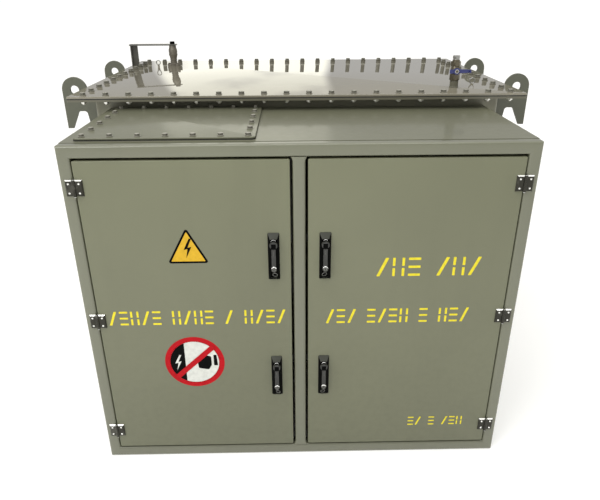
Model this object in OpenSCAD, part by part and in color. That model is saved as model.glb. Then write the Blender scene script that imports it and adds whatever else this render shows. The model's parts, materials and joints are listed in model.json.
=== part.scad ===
// Pad-mounted distribution transformer: a welded oil tank with a bolted lid,
// and a low cable cabinet with two lockable doors in front of it.
// X runs to the right, Y to the back, Z up. The origin is on the pad.

/* [Cabinet] */
// Width of the cable cabinet
cab_w = 1400; // [1300:10:1700]
// Height of the cabinet roof above the pad
cab_h = 1152; // [960:2:1400]
// Depth from the door face to the tank wall
cab_d = 570; // [450:5:700]
// Side of the square tube of the door frame
tube = 38; // [30:1:50]
// Wall of the square tube
tube_t = 3; // [2:0.5:5]
// Corner radius of the square tube
tube_r = 7; // [3:0.5:10]
// Sheet steel of the cabinet
sheet_t = 3; // [2:0.5:5]

/* [Tank] */
// Reach of the tank wall beyond each side of the cabinet
tank_over = 56; // [30:2:120]
// Depth of the oil tank
tank_d = 1005; // [800:5:1300]
// Rise of the tank wall above the cabinet roof, to the underside of its flange
tank_rise = 36; // [30:2:200]
// Wall of the tank
tank_t = 6; // [4:1:10]
// Corner radius of the tank
tank_r = 14; // [8:1:30]
// Reach of the bolting flange and the lid beyond the tank wall
flange_reach = 75; // [65:1:90]
// Thickness of the bolting flange
flange_t = 8; // [5:1:12]
// Height of the tank floor above the pad
floor_z = 50; // [40:1:80]
// Thickness of the tank floor
floor_t = 8; // [6:1:12]

/* [Lid] */
// Thickness of the lid
lid_t = 8; // [5:1:12]
// Thickness of the lid gasket
lid_gasket_t = 3; // [2:0.5:5]
// Distance of the front and back bolt rows from the lid edge
lid_bolt_inset = 34; // [30:1:50]
// Distance of the side bolt rows from the lid edge
lid_bolt_side = 50; // [40:1:55]
// Bolts along the front and along the back
lid_bolts_x = 20; // [12:1:24]
// Bolts along each side, corners included
lid_bolts_y = 12; // [8:1:16]
// Radius of the lid bolts
lid_bolt_r = 6; // [5:0.5:8]
// Clearance between a bolt and its hole, on the radius
hole_gap = 0.6; // [0.3:0.1:1]

/* [Lifting lugs] */
// Thickness of a lug plate
lug_t = 10; // [8:1:16]
// Radius of the lug's ear
ear_r = 50; // [40:1:60]
// Radius of the hole for the shackle
ear_hole_r = 17.5; // [12:0.5:22]
// Distance of the front and back lugs from the tank's front wall
lug_front = 195; // [150:5:300]
// Distance between the front and back lugs
lug_pitch = 580; // [400:5:700]

/* [Doors] */
// Gap between a door and the centre post
door_gap_mid = 7.5; // [5:0.5:9]
// Place of the centre post, off the middle of the cabinet
post_x = -5.5; // [-20:0.5:20]
// Gap between a door and the hinge post
door_gap_hinge = 3; // [2:0.5:5]
// Gap above and below a door
door_gap_z = 6.5; // [3:0.5:8]
// Depth of a folded door
door_d = 30; // [20:1:34]
// Width of the lip folded in at a door's back
door_lip = 20; // [10:1:30]

/* [Hinges] */
// Height of a hinge
hinge_h = 50; // [40:1:70]
// Width of one hinge leaf
leaf_w = 25.5; // [20:0.5:28]
// Thickness of a hinge leaf
leaf_t = 3; // [2:0.5:4]
// Outer radius of the hinge knuckle
knuckle_r = 5; // [4:0.5:5.5]
// Radius of the hinge pin
pin_r = 2.5; // [2:0.25:3]
// Running clearance of the hinge pin, on the radius
pin_gap = 0.05; // [0.02:0.01:0.1]
// Distance of the pin in front of the door face
pin_out = 6; // [5.5:0.5:7]
// Distance of the lowest hinge above the door's foot
hinge_foot = 77.5; // [50:0.5:120]
// Distance of the highest hinge below the door's head
hinge_head = 79.5; // [50:0.5:120]

/* [Swing handles] */
// Width of the handle base
base_w = 36; // [32:1:44]
// Height of the handle base
base_h = 158; // [140:1:180]
// How far the handle base stands proud
base_out = 13; // [10:0.5:18]
// Distance of the handles from the middle of the centre post
handle_out = 79.5; // [75:0.5:100]
// Distance of the lower handles above the door's foot
handle_low = 305.5; // [200:0.5:360]
// Distance between the lower and the upper handles
handle_pitch = 450; // [300:1:460]
// Width of the lever
lever_w = 24; // [20:1:28]
// Thickness of the lever
lever_t = 9.4; // [8:0.2:12]

/* [Cabinet contents] */
// Pitch of the high-voltage bushings
hv_pitch = 170; // [150:5:190]
// Distance of the high-voltage bushings below the roof
hv_drop = 462; // [400:2:540]
// Step between one high-voltage bushing and the next
hv_rise = 60; // [0:5:70]
// Pitch of the low-voltage bushings
lv_pitch = 140; // [120:5:150]
// Distance of the low-voltage bushings below the roof
lv_drop = 432; // [400:2:540]
// Distance of the fuses and the gauges below the roof
top_row_drop = 192; // [180:2:220]
// Hole pitch of a terminal spade
spade_pitch = 44.5; // [40:0.5:50]
// Radius of the holes in a terminal spade
spade_hole_r = 7.15; // [6:0.05:8]
// Radius of the hold-down holes
hold_hole_r = 9; // [8:0.5:12]

/* [Radiators] */
// Panels in each radiator
panels = 10; // [6:1:12]
// Pitch of the radiator panels
panel_pitch = 46; // [40:1:50]
// Height of the radiator panels
panel_h = 720; // [500:10:800]
// Depth of the radiator panels
panel_d = 190; // [120:5:250]

/* [Hidden] */

$fn = 48;
corner_steps = 5;

// Main planes
tank_w = cab_w + 2 * tank_over;
tank_h = cab_h + tank_rise;
front_y = -(cab_d + tank_d) / 2;
wall_y = front_y + cab_d;
back_y = wall_y + tank_d;
tank_mid_y = (wall_y + back_y) / 2;
flange_top = tank_h + flange_t;
lid_bottom = flange_top + lid_gasket_t;
lid_top = lid_bottom + lid_t;
lid_w = tank_w + 2 * flange_reach;
lid_d = tank_d + 2 * flange_reach;
tank_in = tank_w / 2 - tank_t;
post_in = cab_w / 2 - tube;
rail_z = cab_h - tube;
mid_reach = tube / 2 + door_gap_mid;
door_x1 = post_in - door_gap_hinge;
door_z0 = tube + door_gap_z;
door_z1 = rail_z - door_gap_z;
handle_z = [door_z0 + handle_low, door_z0 + handle_low + handle_pitch];
hinge_lo = door_z0 + hinge_foot;
hinge_hi = door_z1 - hinge_head;
hinge_z = [hinge_lo, round((hinge_lo + hinge_hi) / 2), hinge_hi];

// Colours
paint = [0.53, 0.54, 0.45];
paint_light = [0.57, 0.57, 0.49];
steel = [0.78, 0.78, 0.76];
dark_steel = [0.45, 0.45, 0.43];
black = [0.06, 0.06, 0.06];
epoxy = [0.55, 0.33, 0.2];
copper = [0.72, 0.45, 0.25];
brass = [0.72, 0.62, 0.35];
blue = [0.1, 0.16, 0.5];

// ---- outlines and fasteners ----

function arc(cx, cy, r, a0, a1, steps = corner_steps) =
    [for (i = [0:steps]) let (a = a0 + (a1 - a0) * i / steps)
        [cx + r * cos(a), cy + r * sin(a)]];

// Rectangle centred on the origin with round corners
function round_rect(w, d, r) = concat(
    arc(w / 2 - r, d / 2 - r, r, 0, 90), arc(r - w / 2, d / 2 - r, r, 90, 180),
    arc(r - w / 2, r - d / 2, r, 180, 270), arc(w / 2 - r, r - d / 2, r, 270, 360));

module slab(w, d, t, r) {
    linear_extrude(t) polygon(round_rect(w, d, r));
}

// Box given by its lowest corner and its highest corner
module box(a, b) {
    translate(a) cube(b - a);
}

module hex(across, h) {
    cylinder(h = h, r = across / 2 / cos(30), $fn = 6);
}

// Solid turned about an axis that points to the front, from its wall at y
module to_front(x, y, z) {
    translate([x, y, z]) rotate([90, 0, 0]) children();
}

// Hexagon-headed bolt seated at z = 0, with a nut below what it holds
module bolt(r, grip) {
    head_w = 3 * r;
    washer_t = 2;
    tail = 4;
    cylinder(h = washer_t, r = 2 * r);
    translate([0, 0, washer_t]) hex(head_w, 1.3 * r);
    translate([0, 0, -grip - 1.6 * r - tail]) cylinder(h = grip + 1.6 * r + tail + washer_t, r = r);
    translate([0, 0, -grip - 1.6 * r]) hex(head_w, 1.6 * r);
}

module both_sides() {
    children();
    mirror([1, 0, 0]) children();
}

// ---- tank ----

skid_w = 80;
skid_gap = 1;
skid_pitch = (tank_d - 2 * tank_t - skid_w) / 2 - 2 * skid_w;

module base_skids() {
    color(paint)
    for (i = [0:2])
        box([-tank_in + skid_gap, i * skid_pitch - skid_w / 2, 0],
            [tank_in - skid_gap, i * skid_pitch + skid_w / 2, floor_z]);
}

// Centres of the lid bolts
function rim(w, d, nx, ny) = concat(
    [for (i = [0:nx - 1], s = [-1, 1]) [w * (i / (nx - 1) - 0.5), s * d / 2]],
    [for (i = [1:ny - 2], s = [-1, 1]) [s * w / 2, d * (i / (ny - 1) - 0.5)]]);

lid_bolt_at = rim(lid_w - 2 * lid_bolt_side, lid_d - 2 * lid_bolt_inset, lid_bolts_x, lid_bolts_y);

module lid_holes(z, t) {
    for (p = lid_bolt_at)
        translate([p[0], p[1] + tank_mid_y, z - 1])
            cylinder(h = t + 2, r = lid_bolt_r + hole_gap);
}

module tank_ring(z, t) {
    difference() {
        translate([0, tank_mid_y, z]) slab(lid_w, lid_d, t, lid_bolt_r);
        translate([0, tank_mid_y, z - 1])
            slab(tank_w - 2 * tank_t, tank_d - 2 * tank_t, t + 2, tank_r - tank_t);
        lid_holes(z, t);
    }
}

module tank_shell() {
    color(paint) {
        difference() {
            translate([0, tank_mid_y, 0]) slab(tank_w, tank_d, tank_h, tank_r);
            translate([0, tank_mid_y, floor_z + floor_t])
                slab(tank_w - 2 * tank_t, tank_d - 2 * tank_t, tank_h, tank_r - tank_t);
            translate([0, tank_mid_y, -1])
                slab(tank_w - 2 * tank_t, tank_d - 2 * tank_t, floor_z + 1, tank_r - tank_t);
        }
        tank_ring(tank_h, flange_t);
    }
}

cleat_x = 450;
cleat_w = 90;
cleat_reach = 70;
cleat_rise = 60;
cleat_hole = 40;

module cleat(turn) {
    rotate([0, 0, turn])
    difference() {
        union() {
            box([-cleat_w / 2, -cleat_reach, 0], [cleat_w / 2, 0, floor_t]);
            box([-cleat_w / 2, -floor_t, 0], [cleat_w / 2, 0, cleat_rise]);
        }
        translate([0, -cleat_hole, -1]) cylinder(h = floor_t + 2, r = hold_hole_r);
    }
}

module hold_down_cleats() {
    color(paint)
    for (x = [-cleat_x, cleat_x]) {
        translate([x, wall_y, 0]) cleat(0);
        translate([x, back_y, 0]) cleat(180);
    }
}

// A lug is a flat plate with an ear above the flange and a hook below it
ear_gap = 11;
ear_x = lid_w / 2 + ear_gap + ear_r;
ear_z = lid_top - 16;
lug_out = ear_x + ear_r;
hook_w = 22;
hook_drop = 153;
arch_drop = 84;
arch_r = 12;
lug_foot = 203;
foot_reach = lug_out - 100;

module lug_plate() {
    arch_top = ear_z - arch_drop;
    arch_out = ear_x;
    arch_in = ear_x - 2.2 * arch_r;
    translate([0, lug_t / 2, 0]) rotate([90, 0, 0])
    difference() {
        linear_extrude(lug_t) {
            polygon(concat(
                [[tank_w / 2, ear_z - lug_foot], [foot_reach, ear_z - lug_foot + 30]],
                arc(arch_in, arch_top - arch_r, arch_r, 160, 90),
                arc(arch_out - arch_r, arch_top - arch_r, arch_r, 90, 20),
                [[lug_out - hook_w, ear_z - hook_drop], [lug_out, ear_z - hook_drop],
                 [lug_out, ear_z], [ear_x - ear_r, ear_z],
                 [ear_x - ear_r, tank_h], [tank_w / 2, tank_h]]));
            polygon(arc(ear_x, ear_z, ear_r, 0, 180, 24));
        }
        translate([ear_x, ear_z, -1]) cylinder(h = lug_t + 2, r = ear_hole_r);
    }
}

lug_y = [wall_y + lug_front, wall_y + lug_front + lug_pitch];

module lifting_lugs() {
    color(paint)
    for (y = lug_y)
        translate([0, y, 0]) both_sides() lug_plate();
}

// ---- lid and what stands on it ----

module lid_gasket() {
    color(black)
        tank_ring(flange_top, lid_gasket_t);
}

relief_x = -616;
relief_y = wall_y + 871;
valve_x = 603;
valve_y = wall_y + 79;
relief_bore = 12;
nipple_bore = 10;

module tank_lid() {
    color(paint_light)
    difference() {
        translate([0, tank_mid_y, lid_bottom]) slab(lid_w, lid_d, lid_t, lid_bolt_r);
        lid_holes(lid_bottom, lid_t);
        translate([relief_x, relief_y, lid_bottom - 1]) cylinder(h = lid_t + 2, r = relief_bore);
        translate([valve_x, valve_y, lid_bottom - 1]) cylinder(h = lid_t + 2, r = nipple_bore);
    }
}

module lid_bolts() {
    color(paint_light)
    for (p = lid_bolt_at)
        translate([p[0], p[1] + tank_mid_y, lid_top]) bolt(lid_bolt_r, lid_top - tank_h);
}

eye_r = 10;
eye_wire = 2.2;
eye_at = [[-699, relief_y + 17], [697, valve_y + 79]];

module lid_eyes() {
    color(steel)
    for (p = eye_at)
        translate([p[0], p[1], lid_top]) {
            cylinder(h = 2, r = 5);
            translate([0, 0, eye_r + eye_wire]) rotate([90, 0, 0])
                rotate_extrude() translate([eye_r, 0]) circle(r = eye_wire, $fn = 16);
        }
}

relief_h = 96;

module relief_valve() {
    color(dark_steel)
    translate([relief_x, relief_y, lid_top])
    difference() {
        union() {
            rotate_extrude()
                polygon([[0, 0], [20, 0], [20, 8], [16.5, 10], [16.5, 42], [21, 50],
                         [21, 80], [17, relief_h - 6], [17, relief_h], [0, relief_h]]);
            linear_extrude(6) polygon(round_rect(64, 30, 14));
            for (s = [-1, 1])
                translate([s * 24, 0, 6]) hex(10, 6);
        }
        translate([0, 0, -1]) cylinder(h = relief_h / 2, r = relief_bore);
    }
}

strap_t = 6;
strap_w = 38;
leg_x = -lid_w / 2 + 2;
leg_w = 34;
leg_t = 5;

module relief_guard_strap() {
    color(dark_steel)
    translate([0, relief_y, lid_top])
    difference() {
        union() {
            box([leg_x, -strap_w / 2, relief_h], [relief_x + 21, strap_w / 2, relief_h + strap_t]);
            box([leg_x, 0, 0], [leg_x + leg_t, leg_w / 2, relief_h]);
            box([leg_x, leg_w / 2 - leg_t, 0], [leg_x + leg_w, leg_w / 2, relief_h]);
        }
        translate([relief_x, 0, relief_h - 1]) cylinder(h = strap_t + 2, r = 6 + hole_gap);
    }
}

module relief_top_bolt() {
    color(black)
    translate([relief_x, relief_y, lid_top + relief_h]) {
        cylinder(h = strap_t, r = 6);
        translate([0, 0, strap_t]) hex(21, 12);
    }
}

nipple_h = 27;
valve_hex_h = 22;
valve_ball_h = 30;
valve_top_h = 16;
stem_z = nipple_h + valve_hex_h + valve_ball_h / 2 - 3;
stem_y = -19;
stem_r = 5;

module fill_valve_nipple() {
    color(paint)
    translate([valve_x, valve_y, lid_top])
    difference() {
        cylinder(h = nipple_h, r = 16);
        translate([0, 0, -1]) cylinder(h = nipple_h + 2, r = nipple_bore);
    }
}

module fill_valve_body() {
    color(brass)
    translate([valve_x, valve_y, lid_top + nipple_h])
    difference() {
        union() {
            hex(34, valve_hex_h);
            translate([0, 0, valve_hex_h]) cylinder(h = valve_ball_h, r = 17);
            translate([0, 0, valve_hex_h + valve_ball_h]) hex(34, valve_top_h);
            translate([0, 0, valve_hex_h + valve_ball_h + valve_top_h]) cylinder(h = 6, r = 14);
            translate([0, 0, stem_z - nipple_h]) rotate([90, 0, 0]) cylinder(h = -stem_y, r = 9);
            translate([0, 0, stem_z - nipple_h]) rotate([90, 0, 0]) cylinder(h = 27, r = stem_r);
        }
        translate([0, 0, -1]) cylinder(h = nipple_h, r = nipple_bore);
    }
}

plug_z = nipple_h + valve_hex_h + valve_ball_h + valve_top_h + 6;

module fill_valve_plug() {
    color(dark_steel)
    translate([valve_x, valve_y, lid_top + plug_z]) {
        cylinder(h = 4, r = 12);
        translate([0, 0, 4]) hex(24, 11);
    }
}

handle_reach = 52;

// The blue lever turns on the stem, and its end is cranked up
module fill_valve_handle() {
    color(blue)
    translate([valve_x, valve_y + stem_y - 0.3, lid_top + stem_z]) {
        rotate([90, 0, 0])
        difference() {
            union() {
                hex(22, 6);
                linear_extrude(3) polygon([[-26, -8], [0, -8], [handle_reach, -5], [handle_reach, 6],
                                           [0, 8], [-26, 6]]);
            }
            translate([0, 0, -1]) cylinder(h = 8, r = stem_r + pin_gap);
        }
        box([handle_reach - 3, -15, -5], [handle_reach, -3, 6]);
    }
}

// ---- radiators at the back ----

header_r = 28;
header_y = 45;
radiator_z = 250;
radiator_x = 330;
panel_t = 12;

module radiator() {
    span = (panels - 1) * panel_pitch;
    for (z = [radiator_z + 50, radiator_z + panel_h - 50]) {
        translate([-span / 2 - panel_t, header_y, z]) rotate([0, 90, 0])
            cylinder(h = span + 2 * panel_t, r = header_r);
        for (s = [-1, 1])
            translate([s * (span / 2 - 70), header_y, z]) rotate([90, 0, 0])
                cylinder(h = header_y, r = header_r - 8);
    }
    for (i = [0:panels - 1])
        translate([i * panel_pitch - span / 2 - panel_t / 2, header_y - 15, radiator_z])
            cube([panel_t, panel_d, panel_h]);
}

module radiators() {
    color(paint)
    for (s = [-1, 1])
        translate([s * radiator_x, back_y, 0]) radiator();
}

// ---- cabinet ----

// Square tube standing on z = 0, its outer corner at the origin
module tube_bar(l) {
    translate([tube / 2, tube / 2, 0])
    linear_extrude(l) difference() {
        polygon(round_rect(tube, tube, tube_r));
        polygon(round_rect(tube - 2 * tube_t, tube - 2 * tube_t, tube_r - tube_t));
    }
}

module frame_posts() {
    color(paint_light) {
        for (x = [-cab_w / 2, post_in])
            translate([x, front_y, 0]) tube_bar(cab_h);
        translate([post_x - tube / 2, front_y, tube]) tube_bar(rail_z - tube);
    }
}

module frame_rails() {
    color(paint_light)
    for (z = [0, rail_z])
        translate([-post_in, front_y, z + tube]) rotate([0, 90, 0]) tube_bar(2 * post_in);
}

side_y = front_y + tube;
side_lip = 30;

module cabinet_sides() {
    color(paint)
    both_sides() {
        box([cab_w / 2 - sheet_t, side_y, 0], [cab_w / 2, wall_y, cab_h - sheet_t]);
        box([cab_w / 2 - side_lip, side_y, 0], [cab_w / 2 - sheet_t, wall_y, sheet_t]);
    }
}

// Bolted cover over the left half of the roof
cover_w = 535;
cover_d = 491;
cover_x = -399.5;
cover_y = front_y + 301.5;
cover_t = 5;
cover_gasket_t = 3;
cover_r = 14;
cover_inset = 22;
cover_rim = 50;
cover_bolt_r = 5;
cover_bolt_at = rim(cover_w - 2 * cover_inset, cover_d - 2 * cover_inset, 7, 6);

module cover_holes(z, t) {
    for (p = cover_bolt_at)
        translate([cover_x + p[0], cover_y + p[1], z - 1])
            cylinder(h = t + 2, r = cover_bolt_r + hole_gap);
}

module cover_window(z, t) {
    translate([cover_x, cover_y, z - 1])
        slab(cover_w - 2 * cover_rim, cover_d - 2 * cover_rim, t + 2, cover_r);
}

module cabinet_roof() {
    z = cab_h - sheet_t;
    color(paint_light)
    difference() {
        box([-cab_w / 2, side_y, z], [cab_w / 2, wall_y, cab_h]);
        cover_holes(z, sheet_t);
        cover_window(z, sheet_t);
    }
}

module roof_cover_gasket() {
    color(black)
    difference() {
        translate([cover_x, cover_y, cab_h]) slab(cover_w, cover_d, cover_gasket_t, cover_r);
        cover_holes(cab_h, cover_gasket_t);
        cover_window(cab_h, cover_gasket_t);
    }
}

module roof_access_cover() {
    z = cab_h + cover_gasket_t;
    color(paint_light)
    difference() {
        translate([cover_x, cover_y, z]) slab(cover_w, cover_d, cover_t, cover_r);
        cover_holes(z, cover_t);
    }
}

module roof_cover_bolts() {
    z = cab_h + cover_gasket_t + cover_t;
    color(paint_light)
    for (p = cover_bolt_at)
        translate([cover_x + p[0], cover_y + p[1], z])
            bolt(cover_bolt_r, cover_t + cover_gasket_t + sheet_t);
}

module compartment_barrier() {
    color(paint)
    box([post_x - sheet_t / 2, side_y, tube], [post_x + sheet_t / 2, wall_y, cab_h - sheet_t]);
}

// ---- hinges ----

hinge_x = post_in - door_gap_hinge / 2;
pin_y = front_y - pin_out;
knuckle_h = hinge_h / 3;
knuckle_gap = 0.4;
leaf_screw_r = 3.2;
leaf_screw_z = 15;
leaf_screw_x = 16;

// Leaf from the pin outwards; middle chooses the centre knuckle
module hinge_leaf(side, middle) {
    h0 = middle ? knuckle_h + knuckle_gap : 0;
    h1 = middle ? 2 * knuckle_h - knuckle_gap : hinge_h;
    translate([0, 0, -hinge_h / 2])
    difference() {
        union() {
            box([min(side * 0.75, side * leaf_w), pin_out - leaf_t, 0],
                [max(side * 0.75, side * leaf_w), pin_out, hinge_h]);
            translate([0, 0, h0]) cylinder(h = h1 - h0, r = knuckle_r);
            box([min(side * 0.75, side * knuckle_r), 0, h0],
                [max(side * 0.75, side * knuckle_r), pin_out, h1]);
        }
        translate([0, 0, -1]) cylinder(h = hinge_h + 2, r = pin_r + pin_gap);
        if (middle) {
            translate([0, 0, -1]) cylinder(h = knuckle_h + knuckle_gap + 1, r = knuckle_r + 1);
            translate([0, 0, 2 * knuckle_h - knuckle_gap]) cylinder(h = hinge_h, r = knuckle_r + 1);
        } else {
            translate([0, 0, knuckle_h]) cylinder(h = knuckle_h, r = knuckle_r + 1);
            box([-knuckle_r, -knuckle_r, knuckle_h],
                [knuckle_r, pin_out + 1, 2 * knuckle_h]);
        }
    }
}

module leaf_screws(side) {
    for (s = [-1, 1])
        translate([side * leaf_screw_x, pin_out - leaf_t, s * leaf_screw_z])
            rotate([90, 0, 0]) cylinder(h = 1.8, r = leaf_screw_r);
}

module at_hinges() {
    for (z = hinge_z)
        translate([hinge_x, pin_y, z]) children();
}

module hinge_frame_leaves() {
    color(steel)
    both_sides() at_hinges() hinge_leaf(1, false);
}

module hinge_pins() {
    color(steel)
    both_sides() at_hinges()
        translate([0, 0, -hinge_h / 2 - 2]) {
            cylinder(h = hinge_h + 4, r = pin_r);
            for (z = [0, hinge_h + 2.2])
                translate([0, 0, z]) cylinder(h = 1.8, r = pin_r + 1.2);
        }
}

module hinge_frame_screws() {
    color(steel)
    both_sides() at_hinges() leaf_screws(1);
}

module hinge_door_leaves() {
    color(steel)
    at_hinges() {
        hinge_leaf(-1, true);
        leaf_screws(-1);
    }
}

module hinge_door_leaves_left() {
    mirror([1, 0, 0]) hinge_door_leaves();
}

module hinge_door_leaves_right() {
    hinge_door_leaves();
}

// ---- doors ----

spindle_r = 7;
spindle_gap = 0.8;
pivot_up = 45;

// Door on the right of the cabinet; post is the centre post's place on its side
module door(post) {
    x0 = post + mid_reach;
    color(paint)
    difference() {
        box([x0, front_y, door_z0], [door_x1, front_y + door_d, door_z1]);
        box([x0 + sheet_t, front_y + sheet_t, door_z0 + sheet_t],
            [door_x1 - sheet_t, front_y + door_d - sheet_t, door_z1 - sheet_t]);
        box([x0 + door_lip, front_y + sheet_t, door_z0 + door_lip],
            [door_x1 - door_lip, front_y + door_d + 1, door_z1 - door_lip]);
        for (z = handle_z)
            to_front(post + handle_out, front_y + door_d + 1, z + pivot_up)
                cylinder(h = door_d + 2, r = spindle_r + spindle_gap);
    }
}

module door_left() {
    mirror([1, 0, 0]) door(-post_x);
}

module door_right() {
    door(post_x);
}

// Hipped base: a long slope at the top, short ones at the sides and the foot
module handle_base() {
    slope_side = 4;
    slope_top = 22;
    slope_foot = 8;
    difference() {
        intersection() {
            rotate([0, -90, 0]) translate([0, 0, -base_w / 2]) linear_extrude(base_w)
                polygon([[-base_h / 2, 0], [slope_foot - base_h / 2, -base_out],
                         [base_h / 2 - slope_top, -base_out], [base_h / 2, 0]]);
            translate([0, 0, -base_h / 2]) linear_extrude(base_h)
                polygon([[-base_w / 2, 0], [slope_side - base_w / 2, -base_out],
                         [base_w / 2 - slope_side, -base_out], [base_w / 2, 0]]);
        }
        translate([0, 1, pivot_up]) rotate([90, 0, 0])
            cylinder(h = base_out + 2, r = spindle_r + spindle_gap);
    }
}

module handle_bases() {
    color(black)
    for (z = handle_z)
        translate([handle_out, front_y, z]) handle_base();
}

// What a door carries is drawn for the right door and moved with the post
module on_right() {
    translate([post_x, 0, 0]) children();
}

module on_left() {
    translate([post_x, 0, 0]) mirror([1, 0, 0]) children();
}

module handle_bases_left() {
    on_left() handle_bases();
}

module handle_bases_right() {
    on_right() handle_bases();
}

lever_gap = 0.6;
lever_y = -(base_out + lever_gap + lever_t / 2);
tongue_w = 14;
tongue_gap = 0.4;
lever_pin_r = 2;
cam_y = tube + 2;
cam_t = 5;
cam_h = 25;
cam_tip = tube / 2 + 4.5;
lock_down = 81;
lever_l = 92;

// Hub, spindle and cam in one piece; the hub's fork holds the lever
module latch_cam(z) {
    hub_r = lever_w / 2;
    color(dark_steel)
    translate([handle_out, front_y, z + pivot_up]) {
        difference() {
            translate([0, lever_y + lever_t / 2, 0]) rotate([90, 0, 0])
                cylinder(h = lever_t, r = hub_r);
            box([-tongue_w / 2 - tongue_gap, lever_y - lever_t, -hub_r - 1],
                [tongue_w / 2 + tongue_gap, lever_y + lever_t, lever_t / 2 + tongue_gap]);
        }
        translate([0, lever_y, 0]) rotate([0, 90, 0])
            translate([0, 0, -hub_r + 1]) cylinder(h = 2 * hub_r - 2, r = lever_pin_r);
        translate([0, cam_y + cam_t, 0]) rotate([90, 0, 0])
            cylinder(h = cam_y + cam_t - lever_y - lever_t / 2, r = spindle_r);
        box([cam_tip - handle_out, cam_y, -cam_h / 2], [cam_h / 2, cam_y + cam_t, cam_h / 2]);
    }
}

// Lever hinged in the hub's fork; its lock barrel stands in a bore near the foot
module swing_lever(z) {
    barrel_r = 8;
    color(black)
    translate([handle_out, front_y + lever_y, z + pivot_up]) {
        difference() {
            union() {
                rotate([0, 90, 0]) translate([0, 0, -tongue_w / 2])
                    cylinder(h = tongue_w, r = lever_t / 2);
                box([-tongue_w / 2, -lever_t / 2, -lever_w / 2 - 3],
                    [tongue_w / 2, lever_t / 2, 0]);
                translate([0, lever_t / 2, 0]) rotate([90, 0, 0]) linear_extrude(lever_t)
                    polygon(concat([[-lever_w / 2, -lever_w / 2 - 1], [lever_w / 2, -lever_w / 2 - 1]],
                        arc(lever_w / 2 - 6, -lever_l + 6, 6, 0, -90),
                        arc(6 - lever_w / 2, -lever_l + 6, 6, -90, -180)));
            }
            rotate([0, 90, 0]) translate([0, 0, -tongue_w])
                cylinder(h = 2 * tongue_w, r = lever_pin_r + pin_gap);
            translate([0, lever_t, -lock_down]) rotate([90, 0, 0])
                cylinder(h = 2 * lever_t, r = barrel_r);
        }
        translate([0, lever_t / 2, -lock_down]) rotate([90, 0, 0])
            cylinder(h = lever_t + 2.5, r = barrel_r);
    }
}

module latch_cam_right_lower() {
    on_right() latch_cam(handle_z[0]);
}

module latch_cam_right_upper() {
    on_right() latch_cam(handle_z[1]);
}

module latch_cam_left_lower() {
    on_left() latch_cam(handle_z[0]);
}

module latch_cam_left_upper() {
    on_left() latch_cam(handle_z[1]);
}

module swing_lever_right_lower() {
    on_right() swing_lever(handle_z[0]);
}

module swing_lever_right_upper() {
    on_right() swing_lever(handle_z[1]);
}

module swing_lever_left_lower() {
    on_left() swing_lever(handle_z[0]);
}

module swing_lever_left_upper() {
    on_left() swing_lever(handle_z[1]);
}

// ---- high-voltage side ----

hv_x = 5 - cab_w / 4;
hv_z = cab_h - hv_drop;
hv_at = [for (i = [-1:1]) [hv_x + i * hv_pitch, hv_z - i * hv_rise]];
bushing_base_t = 10;
bushing_l = 212;

module hv_bushings() {
    color(epoxy)
    for (p = hv_at)
        to_front(p[0], wall_y, p[1])
            rotate_extrude()
                polygon([[0, 0], [58, 0], [58, bushing_base_t], [44, bushing_base_t], [40, 60],
                         [34, 75], [34, 100], [27, 104], [21, bushing_l - 7], [14, bushing_l],
                         [14, bushing_l - 4], [0, bushing_l - 4]]);
}

stand_t = 6;
stand_d = 70;
stand_h = 90;

// Bent bracket beside each bushing, on which a cable elbow is parked
module parking_stands() {
    color(steel)
    for (p = hv_at)
        translate([p[0] + hv_pitch / 2 - 15, wall_y, p[1]]) {
            box([-stand_t / 2, -stand_d, -stand_h / 2], [stand_t / 2, 0, stand_h / 2]);
            box([-stand_t / 2, -stand_d, -stand_h / 2], [25, stand_t - stand_d, stand_h / 2]);
            box([stand_t / 2, -stand_t, -stand_h / 2], [18, 0, stand_h / 2]);
        }
}

fuse_z = cab_h - top_row_drop;
fuse_l = 118;
fuse_eye_t = 8;
fuse_eye_h = 28;
fuse_eye_r = 7;

module fuse_housings() {
    color(epoxy)
    for (i = [-1:1])
        to_front(hv_x + i * hv_pitch, wall_y, fuse_z) {
            rotate_extrude()
                polygon([[0, 0], [38, 0], [38, 10], [26, 10], [26, 80], [32, 80], [32, 102],
                         [12, 102], [12, fuse_l], [0, fuse_l]]);
            translate([0, 0, fuse_l]) difference() {
                translate([-fuse_eye_t / 2, -fuse_eye_h / 2, 0]) cube([fuse_eye_t, fuse_eye_h, 32]);
                translate([-fuse_eye_t, 0, 16]) rotate([0, 90, 0])
                    cylinder(h = 2 * fuse_eye_t, r = fuse_eye_r);
            }
        }
}

switch_x = -90;
switch_z = cab_h - 312;
tap_z = cab_h - 682;
hub_gap = 0.4;
boss_h = 30;
boss_r = 14;
shaft_r = 8;
hub_h = 18;
hub_r = 18;
arm_z = 4;
arm_t = 10;
switch_arm = 55;
switch_eye_r = 6;
dial_plate_r = 40;

// Plates and stems of the switch and the tap changer are part of the gauges' row
module dial_plate(x, z) {
    to_front(x, wall_y, z) {
        cylinder(h = 6, r = dial_plate_r);
        cylinder(h = boss_h, r = boss_r);
        cylinder(h = boss_h + hub_h + 6, r = shaft_r);
    }
}

module load_break_handle() {
    color(black)
    to_front(switch_x, wall_y - boss_h - hub_gap, switch_z)
    difference() {
        union() {
            cylinder(h = hub_h, r = hub_r);
            translate([-hub_r / 2, -switch_arm, arm_z]) cube([hub_r, 2 * switch_arm, arm_t]);
            translate([0, switch_arm, arm_z]) cylinder(h = arm_t, r = 2 * switch_eye_r);
        }
        translate([0, 0, -1]) cylinder(h = hub_h + 2, r = shaft_r + pin_gap);
        translate([0, switch_arm, 0]) cylinder(h = hub_h, r = switch_eye_r);
    }
}

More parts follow.
